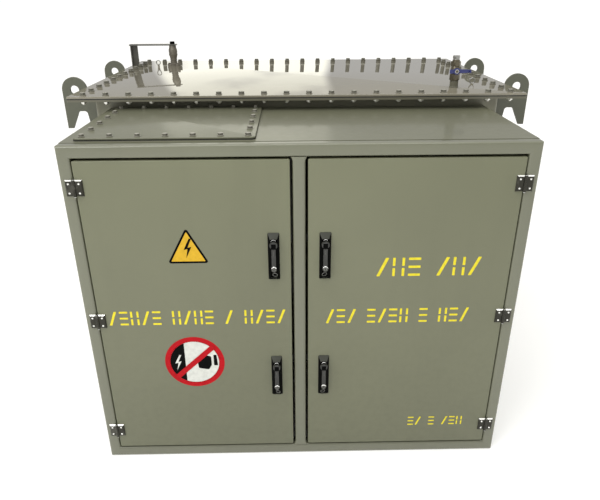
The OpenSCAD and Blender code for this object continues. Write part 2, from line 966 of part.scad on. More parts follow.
module tap_changer_handle() {
    color(black)
    to_front(switch_x, wall_y - boss_h - hub_gap, tap_z)
    difference() {
        union() {
            cylinder(h = hub_h, r = hub_r);
            translate([-7, -30, arm_z]) cube([14, 90, arm_t]);
        }
        translate([0, 0, -1]) cylinder(h = hub_h + 2, r = shaft_r + pin_gap);
    }
}

// ---- low-voltage side ----

lv_x = cab_w / 4 + 20;
lv_z = cab_h - lv_drop;
lv_at = [for (i = [0:3]) lv_x + (i - 1.5) * lv_pitch];
stud_y = 110;
spade_t = 12;
spade_w = 80;
spade_l = 92;

module lv_bushings() {
    color(epoxy)
    for (x = lv_at)
        to_front(x, wall_y, lv_z)
            rotate_extrude()
                polygon([[0, 0], [50, 0], [50, 10], [36, 12], [34, 60], [40, 66], [34, 72],
                         [40, 78], [34, 84], [30, stud_y - 12], [0, stud_y - 12]]);
}

module lv_spades() {
    color(copper)
    for (x = lv_at)
        translate([x, wall_y - stud_y, lv_z])
        difference() {
            union() {
                rotate([90, 0, 0]) translate([0, 0, -12]) cylinder(h = 24, r = 20);
                box([-spade_t / 2, -spade_l, -spade_w / 2], [spade_t / 2, -10, spade_w / 2]);
            }
            for (dy = [-1, 1], dz = [-1, 1])
                translate([-spade_t, -spade_l + 40 + dy * spade_pitch / 2 - 4, dz * spade_pitch / 2])
                    rotate([0, 90, 0]) cylinder(h = 2 * spade_t, r = spade_hole_r);
        }
}

pad_z = 150;
pad_w = 80;
pad_h = 40;
pad_t = 12;
pad_x = [100 - cab_w / 2, cab_w / 2 - 100];
pad_pitch = 44.5;
pad_hole_r = 6;

module ground_pads() {
    color(steel)
    for (x = pad_x)
        translate([x, wall_y, pad_z])
        difference() {
            box([-pad_w / 2, -pad_t, -pad_h / 2], [pad_w / 2, 0, pad_h / 2]);
            for (s = [-1, 1])
                translate([s * pad_pitch / 2, 1, 0]) rotate([90, 0, 0])
                    cylinder(h = pad_t + 2, r = pad_hole_r);
        }
}

// Flat strap from the neutral terminal down to the tank wall
strap_x = lv_at[0];
neutral_w = 30;
neutral_t = 4;
neutral_y = wall_y - stud_y + 4;

module neutral_strap() {
    top = lv_z - 20;
    foot = lv_z - 210;
    color(copper)
    translate([strap_x + neutral_w / 2, 0, 0]) rotate([0, -90, 0]) linear_extrude(neutral_w)
        polygon([[top, neutral_y - 10], [top, neutral_y + 4], [top - neutral_t, neutral_y + 4],
                 [top - neutral_t - 40, neutral_y + 4], [foot + 40, wall_y - neutral_t],
                 [foot + 40, wall_y], [foot, wall_y], [foot, wall_y - neutral_t],
                 [foot + 38, wall_y - neutral_t], [top - neutral_t - 44, neutral_y],
                 [top - neutral_t, neutral_y], [top - neutral_t, neutral_y - 10]]);
}

gauge_x = [lv_x - 140, lv_x];
gauge_z = cab_h - top_row_drop;
gauge_r = 46;
gauge_d = 40;
dial_in = 8;

module gauge_cup(x) {
    to_front(x, wall_y, gauge_z) {
        difference() {
            cylinder(h = gauge_d, r = gauge_r);
            translate([0, 0, gauge_d - dial_in]) cylinder(h = dial_in + 1, r = gauge_r - 5);
        }
        cylinder(h = gauge_d - 2, r = 2);
    }
}

module gauge_housings() {
    color(steel) {
        for (x = gauge_x) gauge_cup(x);
        dial_plate(switch_x, switch_z);
        dial_plate(switch_x, tap_z);
    }
}

module pointer(x) {
    color(black)
    to_front(x, wall_y - gauge_d + dial_in - hub_gap, gauge_z)
    difference() {
        union() {
            cylinder(h = 3, r = 5);
            linear_extrude(1.5) polygon([[-3, -10], [3, -10], [1, 32], [-1, 32]]);
        }
        translate([0, 0, -1]) cylinder(h = 10, r = 2 + pin_gap);
    }
}

module level_pointer() {
    pointer(gauge_x[0]);
}

module thermometer_pointer() {
    pointer(gauge_x[1]);
}

plate_w = 180;
plate_h = 130;
plate_t = 2;
plate_x = lv_x + 100;
plate_z = gauge_z - 80;

module nameplate() {
    color(steel)
    box([plate_x, wall_y - plate_t, plate_z], [plate_x + plate_w, wall_y, plate_z + plate_h]);
}

drain_x = 130;
drain_z = 140;
drain_l = 70;
drain_stem = 26;
drain_r = 12;
drain_mid = 35;
drain_drop = 50;
drain_stem_r = 5;
wheel_r = 34;

module drain_valve_body() {
    color(brass)
    to_front(drain_x, wall_y, drain_z) {
        cylinder(h = 8, r = 30);
        cylinder(h = 40, r = 17);
        translate([0, 0, 22]) hex(40, 26);
        translate([0, 0, 48]) cylinder(h = drain_l - 48, r = drain_r);
        translate([0, 0, drain_l]) cylinder(h = drain_stem, r = drain_stem_r);
        translate([0, 0, drain_mid]) rotate([90, 0, 0]) cylinder(h = drain_drop, r = drain_r);
        translate([0, -drain_drop, drain_mid]) rotate([90, 0, 0]) hex(28, 16);
    }
}

module drain_handwheel() {
    color([0.6, 0.1, 0.08])
    to_front(drain_x, wall_y - drain_l - hub_gap, drain_z) {
        difference() {
            union() {
                cylinder(h = 14, r = 11);
                for (a = [0, 120, 240])
                    rotate([0, 0, a]) translate([0, -4, 4]) cube([wheel_r, 8, 6]);
                translate([0, 0, 7]) rotate_extrude() translate([wheel_r, 0]) circle(r = 5, $fn = 24);
            }
            translate([0, 0, -1]) cylinder(h = 16, r = drain_stem_r + pin_gap);
        }
    }
}

// ---- core and windings in the oil ----

limb_w = 150;
limb_pitch = 350;
window_h = 420;
core_d = 150;
core_z = floor_z + floor_t + 110;
yoke_h = 150;

module core() {
    color(dark_steel)
    translate([0, tank_mid_y + core_d / 2, core_z]) rotate([90, 0, 0]) linear_extrude(core_d)
    difference() {
        translate([-limb_pitch - limb_w / 2, 0])
            square([2 * limb_pitch + limb_w, window_h + 2 * yoke_h]);
        for (s = [-1, 1])
            translate([s * limb_pitch / 2 - (limb_pitch - limb_w) / 2, yoke_h])
                square([limb_pitch - limb_w, window_h]);
    }
}

clamp_t = 20;
clamp_h = 120;

module core_clamps() {
    l = 2 * limb_pitch + limb_w;
    color(paint)
    for (s = [-1, 1])
        translate([0, tank_mid_y + s * (core_d + clamp_t) / 2, 0]) {
            for (z = [core_z + 15, core_z + window_h + yoke_h + 15])
                box([-l / 2, -clamp_t / 2, z], [l / 2, clamp_t / 2, z + clamp_h]);
            for (x = [-l / 2, l / 2 - 60])
                box([x, -clamp_t / 2, floor_z + floor_t], [x + 60, clamp_t / 2, core_z + 15]);
        }
}

lv_in = 110;
lv_out = 136;
hv_in = 142;
hv_out = 168;

module windings(r0, r1, margin) {
    for (i = [-1:1])
        translate([i * limb_pitch, tank_mid_y, core_z + yoke_h])
        difference() {
            cylinder(h = window_h - margin, r = r1);
            translate([0, 0, -1]) cylinder(h = window_h + 2, r = r0);
        }
}

module lv_windings() {
    color(copper) windings(lv_in, lv_out, 10);
}

module hv_windings() {
    color(copper) windings(hv_in, hv_out, 20);
}

base_skids();
tank_shell();
hold_down_cleats();
lifting_lugs();
lid_gasket();
tank_lid();
lid_bolts();
lid_eyes();
relief_valve();
relief_guard_strap();
relief_top_bolt();
fill_valve_nipple();
fill_valve_body();
fill_valve_plug();
radiators();
frame_posts();
frame_rails();
cabinet_sides();
cabinet_roof();
roof_cover_gasket();
roof_access_cover();
roof_cover_bolts();
compartment_barrier();
hinge_frame_leaves();
hinge_pins();
hinge_frame_screws();
hv_bushings();
parking_stands();
fuse_housings();
lv_bushings();
lv_spades();
ground_pads();
neutral_strap();
gauge_housings();
nameplate();
drain_valve_body();
core();
core_clamps();
lv_windings();
hv_windings();
door_left();
door_right();
hinge_door_leaves_left();
hinge_door_leaves_right();
handle_bases_left();
handle_bases_right();
latch_cam_left_lower();
latch_cam_left_upper();
latch_cam_right_lower();
latch_cam_right_upper();
swing_lever_left_lower();
swing_lever_left_upper();
swing_lever_right_lower();
swing_lever_right_upper();
fill_valve_handle();
drain_handwheel();
load_break_handle();
tap_changer_handle();
level_pointer();
thermometer_pointer();
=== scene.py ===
import bmesh
import bpy
import json
import math
import numpy as np
from mathutils import Matrix, Vector


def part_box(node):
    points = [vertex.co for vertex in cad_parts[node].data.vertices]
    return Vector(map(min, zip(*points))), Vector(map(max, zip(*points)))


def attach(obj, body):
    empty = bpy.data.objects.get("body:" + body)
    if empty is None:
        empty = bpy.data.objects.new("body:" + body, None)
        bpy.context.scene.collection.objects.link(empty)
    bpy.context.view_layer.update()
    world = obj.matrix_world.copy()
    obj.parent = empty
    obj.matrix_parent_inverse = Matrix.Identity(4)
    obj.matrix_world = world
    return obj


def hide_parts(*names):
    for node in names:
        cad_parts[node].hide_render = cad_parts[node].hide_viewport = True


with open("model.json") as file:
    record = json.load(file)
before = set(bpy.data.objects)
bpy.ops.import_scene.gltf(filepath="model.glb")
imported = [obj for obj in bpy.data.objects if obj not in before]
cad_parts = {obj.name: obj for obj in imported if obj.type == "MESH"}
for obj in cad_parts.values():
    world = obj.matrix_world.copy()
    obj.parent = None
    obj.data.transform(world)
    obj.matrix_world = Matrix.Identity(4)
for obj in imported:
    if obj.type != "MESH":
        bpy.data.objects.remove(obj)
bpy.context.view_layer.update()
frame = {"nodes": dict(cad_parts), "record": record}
nodes = frame["nodes"]
tau = 2 * math.pi


def corners(node):
    lo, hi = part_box(node)
    return np.array(lo), np.array(hi)


def middle(node):
    lo, hi = corners(node)
    return (lo + hi) / 2


# ---- surfaces from arrays ----

sharpAngle = math.radians(32)


def addPiece(name, mesh):
    mesh.shade_smooth()
    mesh.set_sharp_from_angle(angle=sharpAngle)
    piece = bpy.data.objects.new(name, mesh)
    bpy.context.scene.collection.objects.link(piece)
    return piece


def makeMesh(name, points, faces, outward=True):
    mesh = bpy.data.meshes.new(name)
    mesh.from_pydata(np.asarray(points, float).reshape(-1, 3).tolist(), [], faces)
    if outward:  # closed shells: merged, then turned to face outwards
        shell = bmesh.new()
        shell.from_mesh(mesh)
        bmesh.ops.remove_doubles(shell, verts=shell.verts, dist=1e-6)
        bmesh.ops.recalc_face_normals(shell, faces=shell.faces)
        shell.to_mesh(mesh)
        shell.free()
    return addPiece(name, mesh)


def ringFaces(rows, columns, capped=True, start=0):
    # quads between closed rings: row i column j is point i * columns + j
    i, j = np.meshgrid(np.arange(rows - 1), np.arange(columns), indexing="ij")
    k = (j + 1) % columns
    quads = np.stack([i * columns + j, i * columns + k, (i + 1) * columns + k, (i + 1) * columns + j], -1)
    faces = (quads.reshape(-1, 4) + start).tolist()
    if capped:
        faces.append((np.arange(columns)[::-1] + start).tolist())
        faces.append((np.arange(columns) + (rows - 1) * columns + start).tolist())
    return faces


def manyRings(name, shapes, capped=True):
    # one piece of several ring surfaces, each an array of rows x columns x 3
    points, faces, start = [], [], 0
    for rings in shapes:
        rows, columns, _ = rings.shape
        points.append(rings.reshape(-1, 3))
        faces += ringFaces(rows, columns, capped, start)
        start += rows * columns
    return makeMesh(name, np.concatenate(points), faces)


def closedRings(rings):
    # the last ring joined to the first, for surfaces without caps
    return np.concatenate([rings, rings[:1]])


def mm(*points):
    # a profile written in millimetres
    return [(a * 0.001, b * 0.001) for a, b in points]


def spun(r, h, angles, axis, centre):
    # (r cos a, r sin a) across the axis and h along it
    flat = [r * np.cos(angles), r * np.sin(angles), h + 0 * angles]
    order = {0: (2, 0, 1), 1: (0, 2, 1), 2: (0, 1, 2)}[axis]
    return np.stack([flat[k] for k in order], -1) + np.asarray(centre, float)


def turned(profile, sides=32, axis=2, centre=(0, 0, 0), across=None):
    # a profile of radius and height turned round an axis; across holds its radius inside a hexagon
    # of that width: min(r, apothem / cos(angle from the flat))
    profile = np.asarray(profile, float)
    a = np.arange(sides) * tau / sides
    r = profile[:, :1]
    if across:
        r = np.minimum(r, across / 2 / np.cos(a % (tau / 6) - tau / 12))
    return spun(r, profile[:, 1:], a, axis, centre)


def fronted(points, sides, seat, across=None):
    # turned, and pointing to the front: radius and distance from the seat, in millimetres
    return turned([(r, -h) for r, h in mm(*points)], sides, 1, seat, across)


def roundedOutline(halfW, halfH, radius, steps=6):
    # rows of rounded rectangles: each corner's centre plus radius times (cos a, sin a)
    halfW, halfH, radius = (np.atleast_1d(np.asarray(v, float))[:, None] for v in (halfW, halfH, radius))
    a = (np.arange(4)[:, None] * tau / 4 + np.linspace(0, tau / 4, steps + 1)).ravel()
    sx = np.repeat([1, -1, -1, 1], steps + 1)
    sz = np.repeat([1, 1, -1, -1], steps + 1)
    return sx * (halfW - radius) + radius * np.cos(a), sz * (halfH - radius) + radius * np.sin(a)


def plate(lo, hi, face, profile, corner, steps=6):
    # a profile of inset and depth carried round a rounded rectangle; face is the axis it looks along
    profile = np.asarray(profile, float)
    across = [k for k in range(3) if k != face]
    half, centre = (hi - lo) / 2, (hi + lo) / 2
    inset = profile[:, 0]
    u, v = roundedOutline(half[across[0]] - inset, half[across[1]] - inset,
                          np.maximum(corner - inset, corner * 0.2), steps)
    rings = np.empty(u.shape + (3,))
    rings[..., across[0]] = centre[across[0]] + u
    rings[..., across[1]] = centre[across[1]] + v
    rings[..., face] = profile[:, 1:]
    return rings


def softEdge(inner, outer, r, steps=4):
    # quarter round from an inset face at height inner to the side, turning towards outer
    a = np.linspace(0, tau / 4, steps + 1)
    turn = 1 if outer > inner else -1
    return np.stack([r - r * np.sin(a), inner + turn * (r - r * np.cos(a))], -1)


def slabRings(lo, hi, face, r, corner):
    # solid plate with rounded rims on both faces
    low, high = softEdge(lo[face], hi[face], r), softEdge(hi[face], lo[face], r)
    return plate(lo, hi, face, np.concatenate([low, high[::-1]]), corner)


def flatRings(outline, y0, y1):
    # an outline in X and Z given thickness along Y
    outline = np.asarray(outline, float)
    return np.stack([np.stack([outline[:, 0], np.full(len(outline), y), outline[:, 1]], -1) for y in (y0, y1)])


def sweptTube(path, radius, sides=12):
    # a circle carried along a path: centre + r (cos a across + sin a up), r may change along it
    path = np.asarray(path, float)
    radius = np.broadcast_to(np.asarray(radius, float), (len(path),))
    along = np.gradient(path, axis=0)
    along /= np.linalg.norm(along, axis=1, keepdims=True)
    guide = np.where(np.abs(along[:, 2:]) > 0.9, [[1.0, 0, 0]], [[0, 0, 1.0]])
    across = np.cross(along, guide)
    across /= np.linalg.norm(across, axis=1, keepdims=True)
    up = np.cross(across, along)
    a = np.arange(sides) * tau / sides
    return (path[:, None] + radius[:, None, None]
            * (across[:, None] * np.cos(a)[None, :, None] + up[:, None] * np.sin(a)[None, :, None]))


def weldPath(start, end, radius, ripple=0.006):
    # a bead with ripples: radius times 1 + 0.14 sin along its length, closed to nothing at its ends
    start, end = np.asarray(start, float), np.asarray(end, float)
    length = np.linalg.norm(end - start)
    t = np.linspace(0, 1, int(max(10, min(260, length / ripple * 4))))
    size = radius * (1 + 0.14 * np.sin(t * length / ripple * tau)) * np.clip(np.minimum(t, 1 - t) * 60, 0.2, 1)
    return sweptTube(start + (end - start) * t[:, None], size, 8)


def softCopy(node, width, segments=2):
    # the node's own shape with its hard edges rolled over
    mesh = nodes[node].data.copy()
    shell = bmesh.new()
    shell.from_mesh(mesh)
    bmesh.ops.remove_doubles(shell, verts=shell.verts, dist=2e-5)
    bmesh.ops.dissolve_limit(shell, angle_limit=math.radians(1.5), verts=shell.verts, edges=shell.edges)
    shell.to_mesh(mesh)
    shell.free()
    piece = addPiece(node + "_soft", mesh)
    bevel = piece.modifiers.new("edges", "BEVEL")
    bevel.width, bevel.segments = width, segments
    bevel.limit_method, bevel.angle_limit = "ANGLE", sharpAngle
    bevel.harden_normals = True
    return piece


def place(piece, body, material, slot=None, *replaced):
    piece.data.materials.clear()
    piece.data.materials.append(material)
    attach(piece, body)
    if replaced:
        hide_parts(*replaced)
    return piece


def put(name, shapes, body, material, slot=None, *replaced, capped=True):
    return place(manyRings(name, shapes, capped), body, material, slot, *replaced)


def twoTone(piece, other, axis=2, way=1, limit=0.3):
    # facets that face along the axis take the second material
    piece.data.materials.append(other)
    normals = np.empty(len(piece.data.polygons) * 3)
    piece.data.polygons.foreach_get("normal", normals)
    facing = (way * normals.reshape(-1, 3)[:, axis] > limit).astype(np.int32)
    piece.data.polygons.foreach_set("material_index", facing)


# ---- materials ----

class Wire:
    # one output of a node; arithmetic on it adds Math nodes
    def __init__(self, finish, end):
        self.finish, self.end = finish, end

    def maths(self, operation, *values):
        return self.finish.node("ShaderNodeMath", {"operation": operation}, dict(enumerate(values)))

    def __add__(self, other):
        return self.maths("ADD", self, other)

    __radd__ = __add__

    def __sub__(self, other):
        return self.maths("SUBTRACT", self, other)

    def __rsub__(self, other):
        return self.maths("SUBTRACT", other, self)

    def __mul__(self, other):
        return self.maths("MULTIPLY", self, other)

    def wave(self):
        return self.maths("SINE", self)

    def above(self, edge, blur=0.02):
        return self.finish.node("ShaderNodeMapRange", {"interpolation_type": "SMOOTHSTEP"},
                                {0: self, 1: edge - blur, 2: edge + blur})

    def below(self, edge, blur=0.02):
        return 1 - self.above(edge, blur)


class Finish:
    # a material and the tools to build it
    def __init__(self, name):
        self.material = bpy.data.materials.new(name)
        self.material.use_nodes = True
        self.tree = self.material.node_tree
        self.tree.nodes.clear()
        self.coords = self.node("ShaderNodeTexCoord", out="Object")

    def node(self, kind, settings=None, sockets=None, out=0):
        made = self.tree.nodes.new(kind)
        for key, value in (settings or {}).items():
            setattr(made, key, value)
        for key, value in (sockets or {}).items():
            if isinstance(value, Wire):
                self.tree.links.new(value.end, made.inputs[key])
            else:
                made.inputs[key].default_value = value
        return Wire(self, made.outputs[out])

    def noise(self, scale, detail=4.0, stretch=None, rough=0.5):
        vector = self.coords
        if stretch:
            vector = self.node("ShaderNodeMapping", {}, {"Vector": vector, "Scale": stretch})
        return self.node("ShaderNodeTexNoise", {}, {"Vector": vector, "Scale": scale, "Detail": detail,
                                                    "Roughness": rough})

    def along(self, axis):
        return self.node("ShaderNodeSeparateXYZ", {}, {0: self.coords}, axis)

    def blendColour(self, amount, first, second):
        return self.node("ShaderNodeMix", {"data_type": "RGBA"}, {0: amount, 6: first, 7: second}, 2)

    def bump(self, height, strength, distance=0.001, under=None):
        sockets = {"Height": height, "Strength": strength, "Distance": distance}
        if under:
            sockets["Normal"] = under
        return self.node("ShaderNodeBump", {}, sockets)

    def done(self, **sockets):
        names = {"colour": "Base Color", "roughness": "Roughness", "metallic": "Metallic", "normal": "Normal",
                 "coat": "Coat Weight", "coatRoughness": "Coat Roughness", "level": "Specular IOR Level",
                 "glow": "Emission Color", "glowStrength": "Emission Strength"}
        shader = self.node("ShaderNodeBsdfPrincipled", {}, {names[k]: v for k, v in sockets.items()})
        output = self.tree.nodes.new("ShaderNodeOutputMaterial")
        self.tree.links.new(shader.end, output.inputs["Surface"])
        return self.material


def shaded(colour, factor=1.0, lift=0.0):
    return [min(1, c * factor + lift) for c in colour] + [1]


def enamel(name, colour, gloss, coat, lowDarkening=0.2, wave=0.25, peel=0.06, paintedShadeFrom=None, level=0.5, coatRough=0.02):
    # sprayed enamel: clouded colour, faint runs, darker and rougher towards the ground, orange peel and
    # slightly wavy sheet; above the height given as the shade the paint darkens: painted shade, as under the
    # overhanging lid
    paint = Finish(name)
    cloud = paint.noise(1.7, 3)
    runs = paint.noise(5, 3, stretch=(2.2, 2.2, 0.25))
    fine = paint.noise(46, 5)
    height = paint.along("Z")
    tone = paint.blendColour(cloud.above(0.5, 0.25), shaded(colour, 0.94), shaded(colour, 1.05))
    tone = paint.blendColour(runs.above(0.62, 0.12) * 0.2, tone, shaded(colour, 0.82))
    # darker and rougher towards the ground, speckled
    low = (1 - height).above(0.55, 0.6) * lowDarkening
    tone = paint.blendColour(low * (fine.above(0.55, 0.2) * 0.35 + 0.75), tone, shaded(colour, 0.62))
    # painted shade: above the given height the colour turns dark brown, standing for the shade under the lid
    if paintedShadeFrom:
        tone = paint.blendColour(height.above(paintedShadeFrom, 0.004) * 0.55, tone, (0.05, 0.045, 0.03, 1))
    ripple = paint.bump(paint.noise(2.6, 1), wave, 0.004)
    skin = paint.bump(paint.noise(420, 2), peel, 0.0006, ripple)
    return paint.done(colour=tone, roughness=gloss + (fine - 0.5) * 0.10 + low * 0.2, coat=coat,
                      coatRoughness=coatRough, level=level, normal=skin)


def brushedMetal(name, colour, rough, stretch=(1, 1, 30), stain=0.2):
    # metal with fine lines along the short side of stretch, and a little staining
    metal = Finish(name)
    lines = metal.noise(90, 4, stretch=stretch)
    tone = metal.blendColour(metal.noise(35, 5).above(0.58, 0.14) * stain, shaded(colour), shaded(colour, 0.55))
    return metal.done(colour=tone, metallic=1.0, roughness=rough + (lines - 0.5) * 0.25,
                      normal=metal.bump(lines, 0.12, 0.0003))


def castFinish(name, colour, rough, metallic=0.0, grain=160, depth=0.35, coat=0.0, wear=0.12, level=0.5):
    # cast or moulded surface: fine grain, and lighter rubbed patches
    cast = Finish(name)
    grit = cast.noise(grain, 5, rough=0.65)
    rubbed = cast.noise(28, 4).above(0.6, 0.1) * wear
    tone = cast.blendColour(rubbed, shaded(colour), shaded(colour, 1.7, 0.02))
    return cast.done(colour=tone, metallic=metallic, roughness=rough + (grit - 0.5) * 0.18, coat=coat,
                     level=level, normal=cast.bump(grit, depth, 0.0004))


def concreteFloor(glow):
    # pale floor with a faint glow of its own, so that shadows on it stay soft; none inside the cabinet
    slab = Finish("paleFloor")
    wall = 0.03
    inside = []
    for axis, half in (("X", postHi[0] - wall), ("Y", -postLo[1] - wall)):
        place = slab.along(axis)
        inside.append(place.maths("ABSOLUTE", place).below(half, 0.02))
    tone = slab.blendColour(slab.noise(0.8, 4), (0.87, 0.87, 0.86, 1), (0.9, 0.9, 0.89, 1))
    shown = slab.blendColour(inside[0] * inside[1], tone, (0, 0, 0, 1))
    return slab.done(colour=tone, roughness=0.85, level=0.1, glow=shown, glowStrength=glow)


def stencilPaint(name, colour, level=0.25):
    # thin brushed-on paint, a little patchy
    paint = Finish(name)
    patch = paint.noise(70, 5)
    tone = paint.blendColour(patch.above(0.55, 0.2), shaded(colour), shaded(colour, 0.86))
    return paint.done(colour=tone, roughness=0.45 + patch * 0.15, level=level,
                      normal=paint.bump(patch, 0.1, 0.0003))


def windingPaper():
    # paper wrap with one rib for each turn of wire
    wrap = Finish("windingPaper")
    turns = (wrap.along("Z") * 900).wave()
    tone = wrap.blendColour(turns.above(0, 0.6), (0.42, 0.27, 0.12, 1), (0.6, 0.42, 0.2, 1))
    return wrap.done(colour=tone, roughness=0.6, normal=wrap.bump(turns, 0.5, 0.001))


def laminated():
    # the edges of thin steel sheets
    steel = Finish("coreSteel")
    sheets = (steel.along("Y") * 2600).wave()
    tone = steel.blendColour(sheets.above(0, 0.5), (0.16, 0.165, 0.18, 1), (0.3, 0.3, 0.32, 1))
    return steel.done(colour=tone, metallic=1.0, roughness=0.45, normal=steel.bump(sheets, 0.4, 0.0005))


paints = {
    "door": (0.157, 0.162, 0.098),
    "frame": (0.150, 0.154, 0.102),
    "tank": (0.205, 0.200, 0.140),
    "lug": (0.090, 0.094, 0.064),
    "roof": (0.140, 0.142, 0.092),
    "lid": (0.225, 0.208, 0.158),
}
flangeThick = 0.008
flangeFoot = corners("tank_shell")[1][2] - flangeThick
even = (1, 1, 1)
doorPaint = enamel("doorEnamel", paints["door"], 0.45, 0.12, lowDarkening=0.5)
framePaint = enamel("frameEnamel", paints["frame"], 0.4, 0.6, lowDarkening=0.3, wave=0.05, coatRough=0.1)
# the flange edge and anything above it take the painted shade under the lid
tankPaint = enamel("tankEnamel", paints["tank"], 0.45, 0.15, lowDarkening=0.4, paintedShadeFrom=flangeFoot - 0.004)
# painted shade: the lifting lugs get a darker copy of the tank paint, for the shade under the lid
shadedLugPaint = enamel("shadedLugEnamel", paints["lug"], 0.42, 0.15, lowDarkening=0.2)
lidPaint = enamel("lidEnamel", paints["lid"], 0.3, 1.0, lowDarkening=0, wave=0.03, peel=0.003, level=0)
roofPaint = enamel("roofEnamel", paints["roof"], 0.4, 0.3, lowDarkening=0, wave=0.12, peel=0.01, coatRough=0.09)
# painted light: upward faces of the lid bolts take this lighter copy of the bolt finish
litBoltTop = castFinish("litBoltTop", (0.4, 0.39, 0.33), 0.4, metallic=0.5, grain=90, depth=0.2)
boltPaint = castFinish("boltZinc", (0.16, 0.155, 0.125), 0.4, metallic=0.6, grain=90, depth=0.2)
nutZinc = castFinish("nutZinc", (0.72, 0.71, 0.66), 0.3, metallic=1.0, grain=90, depth=0.2)
rubberBlack = castFinish("gasketRubber", (0.018, 0.018, 0.017), 0.75, grain=220, depth=0.5)
stainless = brushedMetal("stainlessSteel", (0.5, 0.5, 0.48), 0.26)
hingeFace = castFinish("hingeFace", (0.035, 0.034, 0.026), 0.4, metallic=0.6, grain=420, depth=1.0, wear=0.9,
                       level=0.4)
# bright steel for the hinge screws, and painted highlight on the upward bevels of the hinge leaves
screwSteelAndLitBevel = brushedMetal("screwSteelAndLitBevel", (0.9, 0.9, 0.86), 0.2, stain=0.05)
galvanised = brushedMetal("zincPlate", (0.42, 0.42, 0.4), 0.42, stretch=even, stain=0.4)
chromed = brushedMetal("chromedLock", (0.13, 0.13, 0.12), 0.25, stretch=even, stain=0.3)
# painted highlight: near-white metal for the glint arcs on the handles
paintedGlint = brushedMetal("paintedGlintMetal", (0.95, 0.95, 0.93), 0.14, stretch=even, stain=0)
darkMetal = castFinish("darkMetal", (0.085, 0.083, 0.07), 0.42, grain=120, depth=0.2, coat=0.2)
reliefMetal = castFinish("reliefMetal", (0.165, 0.15, 0.12), 0.5, metallic=0.5, grain=140, depth=0.3, wear=0.3)
blackZinc = castFinish("blackZinc", (0.0018, 0.0018, 0.0016), 0.7, grain=260, depth=0.2, wear=0.03, level=0.05)
# painted light: lighter zinc for the upward slopes of the handle bases
litSlopeZinc = castFinish("litSlopeZinc", (0.045, 0.047, 0.037), 0.5, grain=260, depth=0.2, wear=0.2, level=0.3)
# also the front faces of the lever bars, lighter than their sides: painted light
leverZinc = castFinish("leverZinc", (0.021, 0.021, 0.018), 0.35, grain=260, depth=0.2, coat=0.15, wear=0.3,
                       level=0.4)
valveBrass = castFinish("valveBrass", (0.17, 0.15, 0.11), 0.4, metallic=1.0, grain=120, depth=0.25)
blueEnamel = castFinish("blueEnamel", (0.02, 0.028, 0.16), 0.35, coat=0.4, grain=90, depth=0.1)
redEnamel = castFinish("redEnamel", (0.32, 0.02, 0.015), 0.35, coat=0.4, grain=90, depth=0.1)
epoxy = castFinish("epoxyResin", (0.23, 0.075, 0.035), 0.28, coat=0.3, grain=60, depth=0.08)
tinned = brushedMetal("tinnedCopper", (0.62, 0.56, 0.5), 0.38)
copperBar = brushedMetal("copperBar", (0.64, 0.3, 0.17), 0.34, stain=0.35)
plateMetal = brushedMetal("plateAluminium", (0.72, 0.72, 0.72), 0.32, stretch=(30, 1, 1), stain=0.05)
stencilYellow = stencilPaint("stencilYellow", (0.80, 0.68, 0.03))
signYellow = stencilPaint("signYellow", (0.66, 0.40, 0.02))
signWhite = stencilPaint("signWhite", (0.68, 0.69, 0.64))
signRed = stencilPaint("signRed", (0.46, 0.006, 0.012), 0.1)
signBlack = stencilPaint("signBlack", (0.003, 0.003, 0.003), 0.04)
dialWhite = stencilPaint("dialWhite", (0.8, 0.8, 0.77))

# every CAD node that stays in view takes one of these
handleTags = ("left_lower", "left_upper", "right_lower", "right_upper")
kept = {
    tankPaint: ["base_skids", "tank_shell", "hold_down_cleats", "core_clamps"],
    framePaint: ["cabinet_sides", "compartment_barrier"],
    roofPaint: ["cabinet_roof"],
    rubberBlack: ["lid_gasket", "roof_cover_gasket"],
    leverZinc: ["latch_cam_" + tag for tag in handleTags],
    valveBrass: ["drain_valve_body"],
    redEnamel: ["drain_handwheel"],
    stainless: ["gauge_housings", "hinge_pins"],
    blackZinc: ["level_pointer", "thermometer_pointer"],
    laminated(): ["core"],
    windingPaper(): ["lv_windings", "hv_windings"],
}
for material, names in kept.items():
    for name in names:
        nodes[name].data.materials.clear()
        nodes[name].data.materials.append(material)
print("materials done")

# ---- cabinet: frame, doors, roof ----

frameBar = {"radius": 0.0075, "corner": 0.004}
postLo, postHi = corners("frame_posts")
tube = postHi[1] - postLo[1]
frontY = postLo[1]


def frameLoop():
    # rounded square section carried round the cabinet front; each section point is an inset and a depth
    inset, depth = roundedOutline(tube / 2, tube / 2, frameBar["radius"], 5)
    profile = np.stack([inset[0] + tube / 2, depth[0] + frontY + tube / 2], -1)
    return closedRings(plate(postLo, postHi, 1, profile, frameBar["corner"]))


def centrePost():
    # the same section carried up midway between the doors, flared a little where it is welded to the rails
    u, v = roundedOutline(tube / 2, tube / 2, frameBar["radius"], 5)
    z = np.array([0, 0.002, 0.006, 0.014, 1 - 0.014, 1 - 0.006, 1 - 0.002, 1])
    z0, z1 = postLo[2] + tube, postHi[2] - tube
    z = z0 + (z1 - z0) * z
    flare = 0.007 * np.clip(1 - np.minimum(z - z0, z1 - z) / 0.014, 0, 1) ** 2
    midway = (corners("door_left")[1][0] + corners("door_right")[0][0]) / 2
    rings = np.empty((len(z), u.shape[1], 3))
    rings[..., 0] = midway + u * (1 + 2 * flare[:, None] / tube)
    rings[..., 1] = v + frontY + tube / 2
    rings[..., 2] = z[:, None]
    return rings


put("doorFrame", [frameLoop()], "housing", framePaint, "cabinet_paint", "frame_posts", "frame_rails",
    capped=False)
put("centrePost", [centrePost()], "housing", framePaint, "cabinet_paint")

doorShape = {"fold": 0.0028, "corner": 0.004, "sheet": 0.003, "lip": 0.02}


